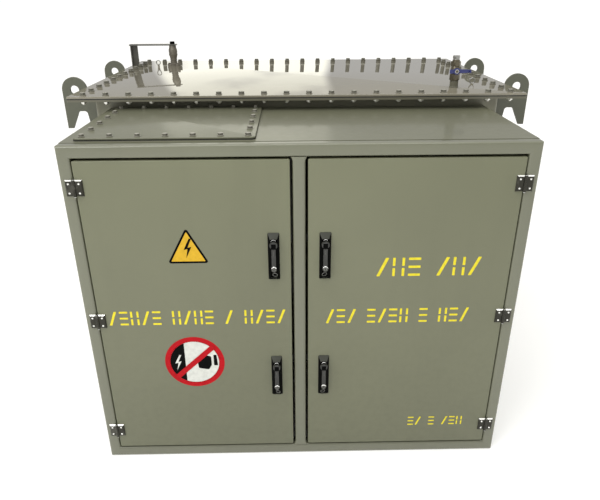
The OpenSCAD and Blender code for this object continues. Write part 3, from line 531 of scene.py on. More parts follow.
def door(side):
    # a folded pan: face, rolled edges, sides, lips turned in, and the inside back to the sheet
    lo, hi = corners("door_" + side)
    fold, sheet, lip = (doorShape[k] for k in ("fold", "sheet", "lip"))
    front, back = lo[1], hi[1]
    rim = softEdge(front, back, fold)
    rear = softEdge(back, front, fold)[::-1]
    inside = [(lip, back), (lip, back - sheet), (sheet, back - sheet), (sheet, front + sheet)]
    return plate(lo, hi, 1, np.concatenate([rim, rear, inside]), doorShape["corner"])


bothSides = (("left", -1), ("right", 1))
for side, _ in bothSides:
    put("doorPanel_" + side, [door(side)], "door_" + side, doorPaint, "cabinet_paint", "door_" + side)

# flat covers: name, node, material, rim radius, corner radius
for name, node, material, rim, corner in (("roofCover", "roof_access_cover", roofPaint, 0.0015, 0.014),
                                          ("lidPlate", "tank_lid", lidPaint, 0.0016, 0.006)):
    put(name, [slabRings(*corners(node), 2, rim, corner)], "housing", material, "lid_paint", node)
print("cabinet and lid done")

# ---- bolts ----

boltShape = {"chamfer": 0.0012, "washer": 0.002, "head": 1.3, "nut": 1.6, "across": 3, "tail": 0.004}


def boltRings(r, grip):
    # washer and chamfered hexagon head with a dished top above z = 0; nut and shank end below the grip
    headH, nutH, hexW = (boltShape[k] * r for k in ("head", "nut", "across"))
    corner, c, w = hexW / 2 / math.cos(tau / 12), boltShape["chamfer"], boltShape["washer"]
    top = w + headH
    head = turned([(corner, w), (corner, top - c), (hexW / 2, top), (hexW / 2 - 0.002, top),
                   (hexW / 2 - 0.003, top - 0.0006), (0.0004, top - 0.0006)], 24, across=hexW)
    washer = turned([(0.0004, 0), (2 * r - 0.0003, 0), (2 * r, 0.0004), (2 * r, w - 0.0004),
                     (2 * r - 0.0006, w), (0.0004, w)], 24)
    nutEnd = -grip - nutH
    nut = turned([(0.0004, -grip), (corner, -grip), (corner, nutEnd + c), (hexW / 2, nutEnd),
                  (0.0004, nutEnd)], 24, across=hexW)
    end = nutEnd - boltShape["tail"]
    shank = turned([(r, nutEnd + 0.001), (r, end + 0.0012), (r - 0.0012, end), (0.0004, end)], 16)
    return [head, washer], [nut, shank]


def rimPlaces(lo, hi, inset, nx, ny):
    # centres spaced evenly round the top of a plate, corners included
    x = np.linspace(lo[0] + inset[0], hi[0] - inset[0], nx)
    y = np.linspace(lo[1] + inset[1], hi[1] - inset[1], ny)
    pairs = [(a, b) for a in x for b in y[[0, -1]]] + [(a, b) for b in y[1:-1] for a in x[[0, -1]]]
    return [(a, b, hi[2]) for a, b in pairs]


def boltSet(name, node, carrier, r, grip, nx, ny, seed):
    # every bolt is turned by its own angle about Z, so the flats don't line up
    lo, hi = corners(carrier)
    luck = np.random.default_rng(seed)
    above, below = [], []
    for spot in rimPlaces(lo, hi, corners(node)[0] - lo + 2 * r, nx, ny):
        a = luck.uniform(0, tau / 6)
        spin = np.array([[math.cos(a), -math.sin(a), 0], [math.sin(a), math.cos(a), 0], [0, 0, 1]])
        for part, shapes in zip(boltRings(r, grip), (above, below)):
            shapes += [rings @ spin.T + np.asarray(spot) for rings in part]
    # facets facing up take the lighter finish: painted light on the bolt tops
    twoTone(put(name, above, "housing", boltPaint, "lid_paint", node), litBoltTop, limit=0.8)
    put(name + "Nuts", below, "housing", nutZinc, "galvanised")


lidBoltR = 0.006
lidGrip = (corners("tank_lid")[1][2] - corners("lid_bolts")[0][2] - boltShape["nut"] * lidBoltR
           - boltShape["tail"])
boltSet("lidBolts", "lid_bolts", "tank_lid", lidBoltR, lidGrip, 20, 12, 4)
boltSet("roofCoverBolts", "roof_cover_bolts", "roof_access_cover", 0.005, 0.011, 7, 6, 9)
print("bolts done")

# ---- hard-edged plates and bars with their edges rolled ----

rolled = {
    "lifting_lugs": (0.0015, shadedLugPaint, "tank_paint"),
    "relief_guard_strap": (0.0012, darkMetal, "dark_metal"),
    "parking_stands": (0.001, galvanised, "galvanised"),
    "lv_spades": (0.0008, tinned, "tinned_copper"),
    "neutral_strap": (0.0006, copperBar, "copper"),
    "ground_pads": (0.001, galvanised, "galvanised"),
    "load_break_handle": (0.001, blackZinc, "black_zinc"),
    "tap_changer_handle": (0.001, blackZinc, "black_zinc"),
    "fill_valve_handle": (0.0007, blueEnamel, "blue_enamel"),
}
bodyOf = {name: body for body, names in frame["record"]["behaviour"]["bodies"].items() for name in names}
for name, (width, material, slotName) in rolled.items():
    place(softCopy(name, width), bodyOf[name], material, slotName, name)
print("rolled plates done")

# ---- relief valve, eyes and fill valve on the lid ----

reliefShape = {"spring": 21, "neck": 16.5, "boltSpan": 0.024}


def reliefValve():
    # a turned body: flange boss, neck with two grooves, a fluted spring barrel and a cap
    lo, hi = corners("relief_valve")
    x, y, _ = middle("relief_valve")
    z = lo[2]
    h = (hi[2] - z) * 1000
    r, n = reliefShape["spring"], reliefShape["neck"]
    profile = mm((0.5, 0), (19.5, 0), (19.5, 8), (18, 9.5), (n, 10.5), (n, 20), (n - 1.5, 21), (n - 1.5, 23.5),
                 (n, 24.5), (n, 36), (n + 1.5, 38), (n + 1.5, 42), (r, 50), (r, 56), (r - 1.2, 57.5),
                 (r - 1.2, 59.5), (r, 61), (r, 74), (r - 1, 78), (17.5, h - 12), (17, h - 4), (16, h), (0.5, h))
    body = turned(profile, 40, 2, (x, y, z))
    u, v = roundedOutline(0.032, 0.015, 0.0145, 8)
    base = np.stack([np.stack([x + u[0] * k, y + v[0] * k, 0 * u[0] + z + t], -1)
                     for k, t in ((1, 0), (1, 0.0048), (0.96, 0.006))])
    bolts = [turned(mm((5.8, 6), (5.8, 10.8), (5, 12), (0.3, 12)), 24, 2,
                    (x + s * reliefShape["boltSpan"], y, z), 0.01) for s in (-1, 1)]
    return [body, base] + bolts


def reliefBolt():
    lo, hi = corners("relief_top_bolt")
    x, y, _ = middle("relief_top_bolt")
    z = hi[2] - 0.012
    head = turned(mm((0.3, 0), (12.1, 0), (12.1, 10.5), (10.6, 12), (0.3, 12)), 36, 2, (x, y, z), 0.021)
    shank = turned([(0.0059, lo[2]), (0.0059, z + 0.001)], 20, 2, (x, y, 0))
    return [head, shank]


put("reliefValve", reliefValve(), "housing", reliefMetal, "dark_metal", "relief_valve")
put("reliefTopBolt", reliefBolt(), "housing", blackZinc, "dark_metal", "relief_top_bolt")


def torusRings(centre, ring, wire, tilt=None, sides=36, around=12):
    # (ring + wire cos b) round the Y axis, wire sin b along it, closed on itself
    a = (np.arange(sides) * tau / sides)[:, None]
    b = np.arange(around) * tau / around
    points = spun(ring + wire * np.cos(b), wire * np.sin(b), a, 1, (0, 0, 0))
    if tilt is not None:
        points = points @ np.asarray(tilt).T
    return closedRings(points + np.asarray(centre))


eyeShape = {"wire": 0.0022, "ring": 0.010, "side": 0.005}


def lidEyes():
    # a wire ring at each of two corners of the lid, on a flattened bead of weld
    lo, hi = corners("lid_eyes")
    wire, ring, side = (eyeShape[k] for k in ("wire", "ring", "side"))
    spots = [(lo[0] + ring + wire, hi[1] - side), (hi[0] - ring - wire, lo[1] + side)]
    rings = [torusRings((x, y, lo[2] + ring + wire), ring, wire) for x, y in spots]
    feet = [turned(mm((5, 0), (4.8, 1.2), (3.5, 2.4), (0.3, 2.8)), 20, 2, (x, y, lo[2])) for x, y in spots]
    put("lidEyes", rings, "housing", galvanised, "stainless", "lid_eyes", capped=False)
    put("lidEyeWelds", feet, "housing", lidPaint, "lid_paint")


lidEyes()

valveShape = {"hexagon": 0.034, "stemHigh": 0.034, "plugHexagon": 0.024, "nutHexagon": 0.014}
valveX, valveY, _ = middle("fill_valve_nipple")
valveLo, valveHi = corners("fill_valve_body")
stemZ = valveLo[2] + valveShape["stemHigh"]


def fillNipple():
    # pipe with a chamfered foot and threads towards its top
    lo, hi = corners("fill_valve_nipple")
    t = np.linspace(0, 1, 40)
    thread = np.where(t > 0.72, 0.0155 + 0.0005 * np.sin(t * 150), 0.016)
    foot = lo[2] + 0.004
    profile = np.concatenate([[(0.0005, lo[2]), (0.0175, lo[2]), (0.0178, lo[2] + 0.002), (0.016, foot)],
                              np.stack([thread, foot + t * (hi[2] - foot)], -1), [(0.0005, hi[2])]])
    return turned(profile, 36, 2, (valveX, valveY, 0))


def fillBody():
    # hexagons with chamfered ends and a ball body between them, and the stem towards the front
    seat, across = (valveX, valveY, valveLo[2]), valveShape["hexagon"]
    top, stem = (valveHi[2] - valveLo[2]) * 1000, (valveY - valveLo[1]) * 1000
    low = turned(mm((0.5, 0), (17.5, 0), (19.6, 1.4), (19.6, 20.5), (17.8, 22), (0.5, 22)), 48, 2, seat, across)
    s = np.linspace(0, 1, 14)
    swell = np.stack([14.5 + 2.7 * np.sin(s * math.pi), 21.5 + s * 31], -1)
    ball = turned(mm((0.5, 21.5), *swell, (0.5, 52.5)), 40, 2, seat)
    high = turned(mm((0.5, 52), (17.8, 52), (19.6, 53.4), (19.6, 66.5), (17.8, 68), (14, 68), (14, top - 0.6),
                     (13.4, top), (0.5, top)), 48, 2, seat, across)
    spindle = fronted([(0.5, 4), (9, 4), (9, 18.5), (8.2, 19), (4.9, 19), (4.9, stem - 0.5), (4.4, stem),
                       (0.5, stem)], 24, (valveX, valveY, stemZ))
    return [low, ball, high, spindle]


def fillPlug():
    lo, hi = corners("fill_valve_plug")
    x, y, _ = middle("fill_valve_plug")
    seat, top = (x, y, lo[2]), (hi[2] - lo[2]) * 1000
    threads = turned(mm((0.5, 0), (11.8, 0), (12, 1), (11.6, 2), (12, 3), (11.8, 4.2), (0.5, 4.2)), 32, 2, seat)
    head = turned(mm((0.5, 4), (12.8, 4), (13.8, 5), (13.8, top - 1.2), (12.4, top), (0.5, top)), 36, 2, seat,
                  valveShape["plugHexagon"])
    return [threads, head]


lockNut = fronted([(5.2, -0.8), (7.5, -0.8), (8.1, -1.4), (8.1, -2), (5.2, -2)], 24,
                  (middle("fill_valve_body")[0], valveLo[1], stemZ), valveShape["nutHexagon"])
put("fillNipple", [fillNipple()], "housing", tankPaint, "tank_paint", "fill_valve_nipple")
put("fillValveBody", fillBody(), "housing", valveBrass, "valve_brass", "fill_valve_body")
put("fillPlug", fillPlug(), "housing", galvanised, "galvanised", "fill_valve_plug")
put("fillLeverNut", [lockNut], "fill_lever", stainless, "stainless")
print("lid fittings done")

# ---- swing handles ----

handleShape = {"long": 0.158, "half": 0.018, "corner": 0.003, "skirt": 0.0015, "plateau": 0.0104,
               "topSlope": 0.0175, "footSlope": 0.008, "trough": 0.004, "aboveHub": 0.034, "leverStands": 0.01,
               "leanAside": 28, "leanBack": 26}
leverShape = {"wide": 0.0115, "thick": 0.0047, "from": 0.0125, "to": 0.0915, "lock": 0.081, "square": 0.45}


def boxRing(cx, halfW, z0, z1, y, r, steps=4):
    # one rounded rectangle between two heights
    u, v = roundedOutline(halfW, (z1 - z0) / 2, r, steps)
    return np.stack([cx + u[0], np.full(u.shape[1], y), (z0 + z1) / 2 + v[0]], -1)


def handleBase(cx, z1, front, face):
    # hipped shell: upright skirt, four slopes up to a plateau, and a shallow trough sunk into it for the lever
    h = handleShape
    z0, flat = z1 - h["long"], h["plateau"]
    top, foot = z1 - h["topSlope"], z0 + h["footSlope"]
    rows = ((h["half"], z0, z1, front), (h["half"], z0, z1, front - h["skirt"]),
            (flat + 0.0004, foot - 0.0006, top + 0.001, face + 0.0005), (flat, foot, top, face),
            (flat - 0.001, foot + 0.001, top - 0.001, face),
            (flat - 0.0014, foot + 0.0015, top - 0.0015, face + h["trough"]))
    return np.stack([boxRing(cx, *row, h["corner"]) for row in rows])


def leverSurface(cx, cy, cz):
    # sections of a rounded bar down its length: half width w(z), half thickness t(z), squared-off ellipse
    shape = leverShape
    s = np.linspace(0, 1, 34)
    down = shape["from"] + s * (shape["to"] - shape["from"])
    ends = np.sqrt(np.clip(1 - np.clip((down - 0.0835) / 0.0082, 0, 1) ** 2, 0.04, 1))
    w = (shape["wide"] - 0.0012 * np.sin(s * math.pi)) * ends
    t = shape["thick"] * (0.86 + 0.14 * np.cos(s * tau)) * np.clip(ends * 1.6, 0.3, 1)
    a = np.arange(28) * tau / 28
    px, py = (np.sign(f) * np.abs(f) ** shape["square"] for f in (np.cos(a), np.sin(a)))
    groove = 0.0011 * np.exp(-(px / 0.32) ** 2) * (py < 0) * np.clip(1 - np.abs(s[:, None] - 0.38) / 0.3, 0, 1)
    x = cx + w[:, None] * px * (0.8 + 0.2 * py)
    return np.stack([x, cy + t[:, None] * py + groove, cz - down[:, None] + 0 * x], -1)


def crescent(cx, cy, cz, radius, thick, start, end, section=0.0011):
    # an arc of thin tube lying in the face, thinning towards its tips; in bright metal it draws a painted
    # highlight
    a = np.radians(np.linspace(start, end, 18))
    path = np.stack([cx + radius * np.cos(a), 0 * a + cy, cz + radius * np.sin(a)], -1)
    size = section * np.sin(np.linspace(0.12, math.pi - 0.12, 18)) ** 0.5 * thick
    return sweptTube(path, size, 10)


def swingHandle(side, way, level):
    tag = side + "_" + level
    door, lever = "door_" + side, "lever_" + tag
    leverLo, leverHi = corners("swing_lever_" + tag)
    cx = (leverLo[0] + leverHi[0]) / 2
    pivotZ = leverHi[2] - leverShape["thick"]
    lockZ = pivotZ - leverShape["lock"]
    baseLo, baseHi = corners("handle_bases_" + side)
    faceY = baseLo[1] - handleShape["leverStands"]
    midY = faceY + leverShape["thick"]
    shell = handleBase(cx, pivotZ + handleShape["aboveHub"], baseHi[1], baseLo[1])
    replaced = ["handle_bases_" + side] if level == "lower" else []
    # facets facing up take the lighter zinc: painted light on the top slope
    twoTone(put("handleBase_" + tag, [shell], door, blackZinc, "black_zinc", *replaced), litSlopeZinc)
    bar = put("leverBar_" + tag, [leverSurface(cx, midY, pivotZ)], lever, blackZinc, "black_zinc",
              "swing_lever_" + tag)
    # front-facing facets take the greyer zinc while the sides stay near black: painted light and shade on the
    # lever
    twoTone(bar, leverZinc, 1, -1, 0.8)

    # round hub at the pin, and the block that joins it to the bar
    hub = turned(mm((0.3, -6.9), (4.4, -6.9), (4.7, -6.6), (4.7, 6.6), (4.4, 6.9), (0.3, 6.9)), 20, 0,
                 (cx, midY, pivotZ))
    reach = np.array([0.0069, 0.0042, 0])
    foot = np.array([cx, midY, pivotZ - 0.016])
    block = plate(foot - reach, np.array([cx, midY, pivotZ]) + reach, 2, [(0, foot[2]), (0, pivotZ)], 0.002)
    put("leverRoot_" + tag, [hub, block], lever, blackZinc, "black_zinc")

    # lock barrel with its key slot, drawn as a thin black sheet on its face: painted shade in place of the
    # hole; and the ring of the dust cover leaning below it
    barrel = fronted([(0.3, -6), (7.9, -6), (7.9, 1.6), (7.2, 2.4), (6.3, 2.4), (5.6, 1.2), (5.4, 0.8),
                      (0.3, 0.8)], 32, (cx, faceY, lockZ))
    put("lockBarrel_" + tag, [barrel], lever, chromed, "stainless")
    slot = np.stack([boxRing(cx, 0.0008, lockZ - 0.0035, lockZ + 0.0035, faceY - out, 0.0004, 2)
                     for out in (0.0006, 0.00095)])
    put("keySlotShade_" + tag, [slot], lever, blackZinc, "black_zinc")
    aside, back = (math.radians(handleShape[k]) for k in ("leanAside", "leanBack"))
    tilt = np.array(Matrix.Rotation(-aside * way, 3, "Y") @ Matrix.Rotation(back, 3, "X"))
    cover = torusRings((cx - way * 0.0030, faceY + 0.0022, pivotZ - 0.0985), 0.0072, 0.0013, tilt)
    put("dustCover_" + tag, [cover], lever, chromed, "stainless", capped=False)

    # painted highlights: bright metal arcs for the glints on the hub's top edge and on the lock, and metal
    # lines on the lever
    put("hubGlint_" + tag, [crescent(cx, faceY + 0.0060, pivotZ + 0.0085, 0.0080, 0.9, 28, 152)], "latch_" + tag,
        paintedGlint, "stainless")
    # a raised line and an arc on the lever in chromed metal: small real ridges, their brightness a painted
    # highlight
    path = [(cx, faceY + out, pivotZ - down) for out, down in mm((0.6, 14), (0.3, 22), (0.3, 31), (0.6, 37))]
    put("leverRidgeAndGlint_" + tag, [sweptTube(path, [0.0003, 0.0008, 0.0008, 0.0003], 10),
                              crescent(cx, faceY + 0.0009, pivotZ - 0.0805, 0.0106, 0.75, 40, 140)],
        lever, chromed, "black_zinc")
    put("lockGlint_" + tag, [crescent(cx, faceY - 0.0012, lockZ + 0.0012, 0.0082, 1.55, 22, 158)], lever,
        paintedGlint, "stainless")


for side, way in bothSides:
    for level in ("lower", "upper"):
        swingHandle(side, way, level)
print("handles done")

# ---- hinges ----

hingeShape = {"thick": 0.0055, "bevel": 0.0032, "leaf": 0.0255, "knuckle": 0.005, "gap": 0.0004, "high": 0.05,
              "pinRadius": 0.0037, "bore": 0.0026, "screwOut": 0.0152, "screwUp": 0.0142}


def hingeLeaf(pinX, z0, z1, way):
    # a block with wide bevels on three sides; way is the side it reaches to from the pin
    h = hingeShape
    x0, x1 = sorted((pinX + way * 0.00075, pinX + way * h["leaf"]))

    def ring(inset, y):
        a, b = x0 + (inset if way < 0 else 0), x1 - (inset if way > 0 else 0)
        return np.array([(a, y, z0 + inset), (b, y, z0 + inset), (b, y, z1 - inset), (a, y, z1 - inset)])

    return np.stack([ring(0, frontY), ring(0, frontY - 0.0012), ring(h["bevel"], frontY - h["thick"])])


def screwHead(x, z):
    # pan head with a sunk middle
    return fronted([(0.2, -1), (3.4, -1), (3.4, 0.4), (2.89, 1.3), (1.7, 1.8), (1.02, 1.9), (0.612, 0.9),
                    (0.2, 0.8)], 20, (x, frontY - hingeShape["thick"] + 0.0004, z))


def knuckle(pinX, pinY, a, b):
    r, bore = hingeShape["knuckle"], hingeShape["bore"]
    soft = 0.0004
    return turned([(bore, a), (r - soft, a), (r, a + soft), (r, b - soft), (r - soft, b), (bore, b)], 24, 2,
                  (pinX, pinY, 0))


def hinges(side, way):
    lo, hi = corners("hinge_door_leaves_" + side)
    pinLo, pinHi = corners("hinge_pins")
    pinX, pinY = way * (pinHi[0] - hingeShape["pinRadius"]), (pinLo[1] + pinHi[1]) / 2
    leaves, heads, knuckles = ({"frame": [], "door": []} for _ in range(3))
    half, gap = hingeShape["high"] / 2, hingeShape["gap"]
    third = hingeShape["high"] / 3
    for z in (hi[2] - half, (lo[2] + hi[2]) / 2, lo[2] + half):
        z0, z1 = z - half, z + half
        for kind, reach in (("frame", way), ("door", -way)):
            leaves[kind].append(hingeLeaf(pinX, z0, z1, reach))
            for up in (-1, 1):
                heads[kind].append(screwHead(pinX + reach * hingeShape["screwOut"],
                                             z + up * hingeShape["screwUp"]))
        for kind, a, b in (("frame", z0, z0 + third), ("door", z0 + third + gap, z1 - third - gap),
                           ("frame", z1 - third, z1)):
            knuckles[kind].append(knuckle(pinX, pinY, a, b))
    replaced = {"frame": (["hinge_frame_leaves"], ["hinge_frame_screws"]) if side == "left" else ([], []),
                "door": (["hinge_door_leaves_" + side], [])}
    for kind, body in (("frame", "housing"), ("door", "door_" + side)):
        tag = kind + "_" + side
        made = put("hinge_" + tag, leaves[kind], body, hingeFace, "stainless", *replaced[kind][0])
        made.data.set_sharp_from_angle(angle=math.radians(20))
        # facets facing up take the bright steel: painted highlight on the top bevels
        twoTone(made, screwSteelAndLitBevel)
        put("hingeScrews_" + tag, heads[kind], body, screwSteelAndLitBevel, "stainless", *replaced[kind][1])
        put("hingeKnuckles_" + tag, knuckles[kind], body, hingeFace, "stainless")


for side, way in bothSides:
    hinges(side, way)
print("hinges done")

# ---- signs and stencilled marks on the doors ----

signThick, signSunk = 0.0004, 0.0002


def roundedPolygon(points, r, steps=5):
    # convex outline, anticlockwise; each corner becomes centre + r (cos a, sin a) between its edges' normals
    points = np.asarray(points, float)
    edge = np.roll(points, -1, 0) - points
    edge /= np.linalg.norm(edge, axis=1, keepdims=True)
    after = np.stack([edge[:, 1], -edge[:, 0]], -1)
    before = np.roll(after, 1, 0)
    centre = points - r * (before + after) / (1 + (before * after).sum(1, keepdims=True))
    a0 = np.arctan2(before[:, 1], before[:, 0])
    turn = (np.arctan2(after[:, 1], after[:, 0]) - a0) % tau
    a = a0[:, None] + turn[:, None] * np.linspace(0, 1, steps + 1)
    return (centre[:, None] + r * np.stack([np.cos(a), np.sin(a)], -1)).reshape(-1, 2)


def moved(outline, x, z, size=1.0):
    return np.asarray(outline, float) * size + (x, z)


def addSign(name, door, material, layer, *outlines):
    # sheets that stand off the door face; layer counts the sheets under them
    back, front = frontY - layer * signThick + signSunk, frontY - (layer + 1) * signThick
    put(name, [flatRings(outline, back, front) for outline in outlines], door, material)


triangleSign = {"x": -0.350, "foot": 0.780, "wide": 0.128, "tall": 0.119, "border": 0.0065, "mark": 0.050,
                "markSize": 0.033}
zigzag = [(0.2, 1), (-0.35, -0.12), (0.02, -0.04), (-0.18, -1), (0.38, 0.16), (0.02, 0.08), (0.42, 1)]


def triangle(inset, r):
    # the sign's outline drawn in by an even inset
    half, tall = triangleSign["wide"] / 2, triangleSign["tall"]
    drop = inset * math.hypot(half, tall) / half
    shrink = 1 - (inset + drop) / tall
    points = [(-half * shrink, inset), (half * shrink, inset), (0, tall - drop)]
    return roundedPolygon(moved(points, triangleSign["x"], triangleSign["foot"]), r)


addSign("warningBorder", "door_left", signBlack, 0, triangle(0, 0.006))
addSign("warningField", "door_left", signYellow, 1, triangle(triangleSign["border"], 0.0015))
addSign("warningMark", "door_left", signBlack, 2,
        moved(zigzag, triangleSign["x"], triangleSign["foot"] + triangleSign["mark"], triangleSign["markSize"]))

discSign = {"x": -0.361, "z": 0.409, "r": 0.1, "ring": 0.0185, "slash": 0.0185, "lean": 43, "shapeEdge": -0.032,
            "blob": [(0.012, -0.024), (0.046, -0.03), (0.056, -0.012), (0.056, 0.022), (0.03, 0.03),
                     (0.008, 0.018)],
            "bar": [(0.064, -0.014), (0.077, -0.014), (0.074, 0.028), (0.064, 0.028)]}


def circle(r, start=0, end=360, steps=64):
    a = np.radians(np.linspace(start, end, steps, endpoint=end - start < 360))
    return np.stack([r * np.cos(a), r * np.sin(a)], -1)


def prohibitionSign():
    # white disc with plain black shapes, a slanting red bar and a red ring round it
    d = discSign
    x, z = d["x"], d["z"]
    white = d["r"] - d["ring"] + 0.001
    addSign("discField", "door_left", signWhite, 0, moved(circle(white), x, z))
    edge = math.degrees(math.acos(d["shapeEdge"] / white))
    shapes = (circle(white - 0.001, edge, 360 - edge, 30), roundedPolygon(d["blob"], 0.006),
              roundedPolygon(d["bar"], 0.002))
    addSign("discShapes", "door_left", signBlack, 1, *(moved(shape, x, z) for shape in shapes))
    addSign("discZigzag", "door_left", signWhite, 2, moved(zigzag, x - 0.056, z, 0.03))
    lean = math.radians(d["lean"])
    along = (d["r"] - d["ring"] / 2) * np.array([math.cos(lean), math.sin(lean)])
    across = d["slash"] / 2 * np.array([-math.sin(lean), math.cos(lean)])
    slash = [a * along + b * across for a, b in ((-1, -1), (1, -1), (1, 1), (-1, 1))]
    addSign("discSlash", "door_left", signRed, 3, moved(slash, x, z))
    y0, y1, r0, r1 = frontY + signSunk, frontY - signThick, d["r"] - d["ring"], d["r"]
    ring = closedRings(turned([(r0, y0), (r1, y0), (r1, y1), (r0, y1)], 72, 1, (x, 0, z)))
    put("discRing", [ring], "door_left", signRed, capped=False)


prohibitionSign()
stencilShape = {"stroke": 0.13, "round": 0.18, "side": 0.12, "space": 0.8, "bridge": 0.44, "slant": 0.62}


def stencilRow(name, door, x0, x1, z0, z1, groups, seed):
    # plain bars in place of writing: one cell per mark, groups as words, three kinds of strokes
    shape = stencilShape
    luck = np.random.default_rng(seed)
    cell = (x1 - x0) / (sum(groups) + shape["space"] * (len(groups) - 1))
    tall = z1 - z0
    stroke, bridge = shape["stroke"] * tall, shape["bridge"] * tall
    outlines, x, kind = [], x0, 0
    for count in groups:
        for _ in range(count):
            left, right = x + shape["side"] * cell, x + (1 - shape["side"]) * cell
            kind = (kind + luck.integers(1, 3)) % 3
            if kind == 0:    # two uprights, each broken by a bridge
                boxes = [(u, v, u + stroke, w) for u in (left, right - stroke)
                         for v, w in ((z0, z0 + bridge), (z1 - bridge, z1))]
            elif kind == 1:  # three level strokes
                boxes = [(left, v, right, v + stroke) for v in (z0, z0 + (tall - stroke) / 2, z1 - stroke)]
            else:            # one slanting stroke
                boxes = []
                slant = 2 * shape["slant"] * stroke
                outlines.append([(left, z0), (left + slant, z0), (right, z1), (right - slant, z1)])
            outlines += [[(a, b), (c, b), (c, e), (a, e)] for a, b, c, e in boxes]
            x += cell
        x += shape["space"] * cell
    addSign(name, door, stencilYellow, 0, *(roundedPolygon(o, stroke * shape["round"], 2) for o in outlines))


stencilRow("stencilTop", "door_right", 0.2305, 0.571, 0.7255, 0.7895, (3, 3), 3)
stencilRow("stencilRight", "door_right", 0.075, 0.550, 0.555, 0.607, (3, 4, 1, 3), 5)
stencilRow("stencilLeft", "door_left", -0.630, -0.048, 0.558, 0.609, (5, 4, 1, 4), 7)
stencilRow("stencilLow", "door_right", 0.376, 0.577, 0.122, 0.158, (2, 1, 3), 11)
print("signs done")

# ---- behind the doors ----

gaugeShape = {"radius": 0.0402, "hub": 0.010, "bore": 0.0026, "ticks": 13, "sweep": 240}


def dial(name, x, z, y, band):
    # white face with ticks round it and a coloured band between two angles, set in the cup
    r, bore, last = gaugeShape["radius"], gaugeShape["bore"], gaugeShape["ticks"] - 1
    seat = (x, 0, z)
    face = turned([(bore, y + 0.0003), (r, y + 0.0003), (r, y - 0.0003), (bore, y - 0.0003)], 48, 1, seat)
    put(name + "Face", [closedRings(face)], "housing", dialWhite, "stainless", capped=False)
    ticks = []
    for k in range(last + 1):
        a = math.radians(90 + gaugeShape["sweep"] * (0.5 - k / last))
        out = np.array([math.cos(a), math.sin(a)])
        long, half = (0.0095, 0.0009) if k % 3 == 0 else (0.006, 0.0005)
        side = np.array([-out[1], out[0]]) * half
        start, end = (r - long) * out, (r - 0.0015) * out
        quad = np.array([start - side, end - side, end + side, start + side])
        ticks.append(flatRings(quad + (x, z), y - 0.0002, y - 0.0006))
    put(name + "Ticks", ticks, "housing", signBlack, "stainless")
    outer, inner = circle(r - 0.0015, *band, 20), circle(r - 0.0045, *band[::-1], 20)
    ring = flatRings(np.concatenate([outer, inner]) + (x, z), y - 0.0002, y - 0.00045)
    put(name + "Band", [ring], "housing", signRed, "stainless")
    rim = turned([(r, y - 0.0075), (r, y), (r + 0.0005, y), (r + 0.0005, y - 0.0078)], 48, 1, seat)
    put(name + "Rim", [closedRings(rim)], "housing", stainless, "stainless", capped=False)


for name, node, band in (("levelGauge", "level_pointer", (150, 200)),
                         ("thermometer", "thermometer_pointer", (-28, 25))):
    lo, hi = corners(node)
    dial(name, (lo[0] + hi[0]) / 2, lo[2] + gaugeShape["hub"], hi[1] + 0.0003, band)

nameplateShape = {"rows": 6, "first": 0.018, "pitch": 0.0185, "half": 0.003, "step": 0.012, "rivet": 0.006,
                  "title": ((0.03, 0.15),), "columns": ((0.010, 0.075), (0.085, 0.17))}


def namePlate():
    # a blank plate with rounded corners and rivets; its rows are plain raised strips
    shape = nameplateShape
    lo, hi = corners("nameplate")
    y, half, inset = lo[1], shape["half"], shape["rivet"]
    put("namePlate", [slabRings(lo, hi, 1, 0.0004, 0.006)], "housing", plateMetal, "plate_aluminium",
        "nameplate")
    rows = []
    for k in range(shape["rows"]):
        z = hi[2] - shape["first"] - k * shape["pitch"]
        for a, b in shape["columns"] if k else shape["title"]:
            x0, x1 = lo[0] + a, lo[0] + b - shape["step"] * ((k * 7) % 3)
            rows.append(flatRings([(x0, z - half), (x1, z - half), (x1, z + half), (x0, z + half)],
                                  y + 0.0001, y - 0.0002))
    put("plateStrips", rows, "housing", leverZinc, "plate_aluminium")
    rivets = [fronted([(0.2, -0.4), (2.4, -0.4), (2.2, 0.6), (1.2, 1.2), (0.2, 1.3)], 16, (x, y, z))
              for x in (lo[0] + inset, hi[0] - inset) for z in (lo[2] + inset, hi[2] - inset)]
    put("plateRivets", rivets, "housing", stainless, "plate_aluminium")


namePlate()

# turned resin bodies, as radius and distance from the wall in millimetres
s = np.linspace(0, 1, 13)
sheds = [(34 + 6 * math.sin(t * math.pi) ** 2, 60.5 + 12 * k + t * 11) for k in range(2) for t in s]
ribs = [(r, 82.5 + k * 4.8 + out) for k in range(4)
        for r, out in ((32, 0), (32, 2.2), (30.6, 2.6), (30.6, 4.2))]
resin = {
    "hv": [(0.4, 0), (58, 0), (58, 8.5), (56.5, 10), (45, 10.2), (43.5, 12), (40.2, 58), (39.8, 61),
           (34.5, 74.5), (34, 76.5), (34, 98), (33, 100), (27.5, 103.5), (26.8, 106), (21.1, 203.5),
           (20.5, 205.2), (14.3, 211.8), (13.8, 211.8), (13.4, 209), (13.4, 208.2), (0.4, 208.2)],
    "lv": [(0.4, 0), (50, 0), (50, 8.5), (48.5, 10), (37.5, 11.5), (36, 13), (34.2, 58), *sheds, (34, 84.5),
           (30.5, 97.5), (29.5, 98), (0.4, 98)],
    "fuse": [(0.4, 0), (38, 0), (38, 8.8), (36.8, 10), (27, 10.2), (26, 11.5), (26, 79.5), (31.2, 80.2),
             (32, 81), *ribs, (31, 102), (13.5, 102.2), (12, 103.5), (12, 118), (0.4, 118)],
}
hvLo, hvHi = corners("hv_bushings")
wallY = hvHi[1]


def spread(node, flange, count):
    # centres from one end of the node's box to the other
    lo, hi = corners(node)
    return np.linspace(lo[0] + flange, hi[0] - flange, count), middle(node)[2]


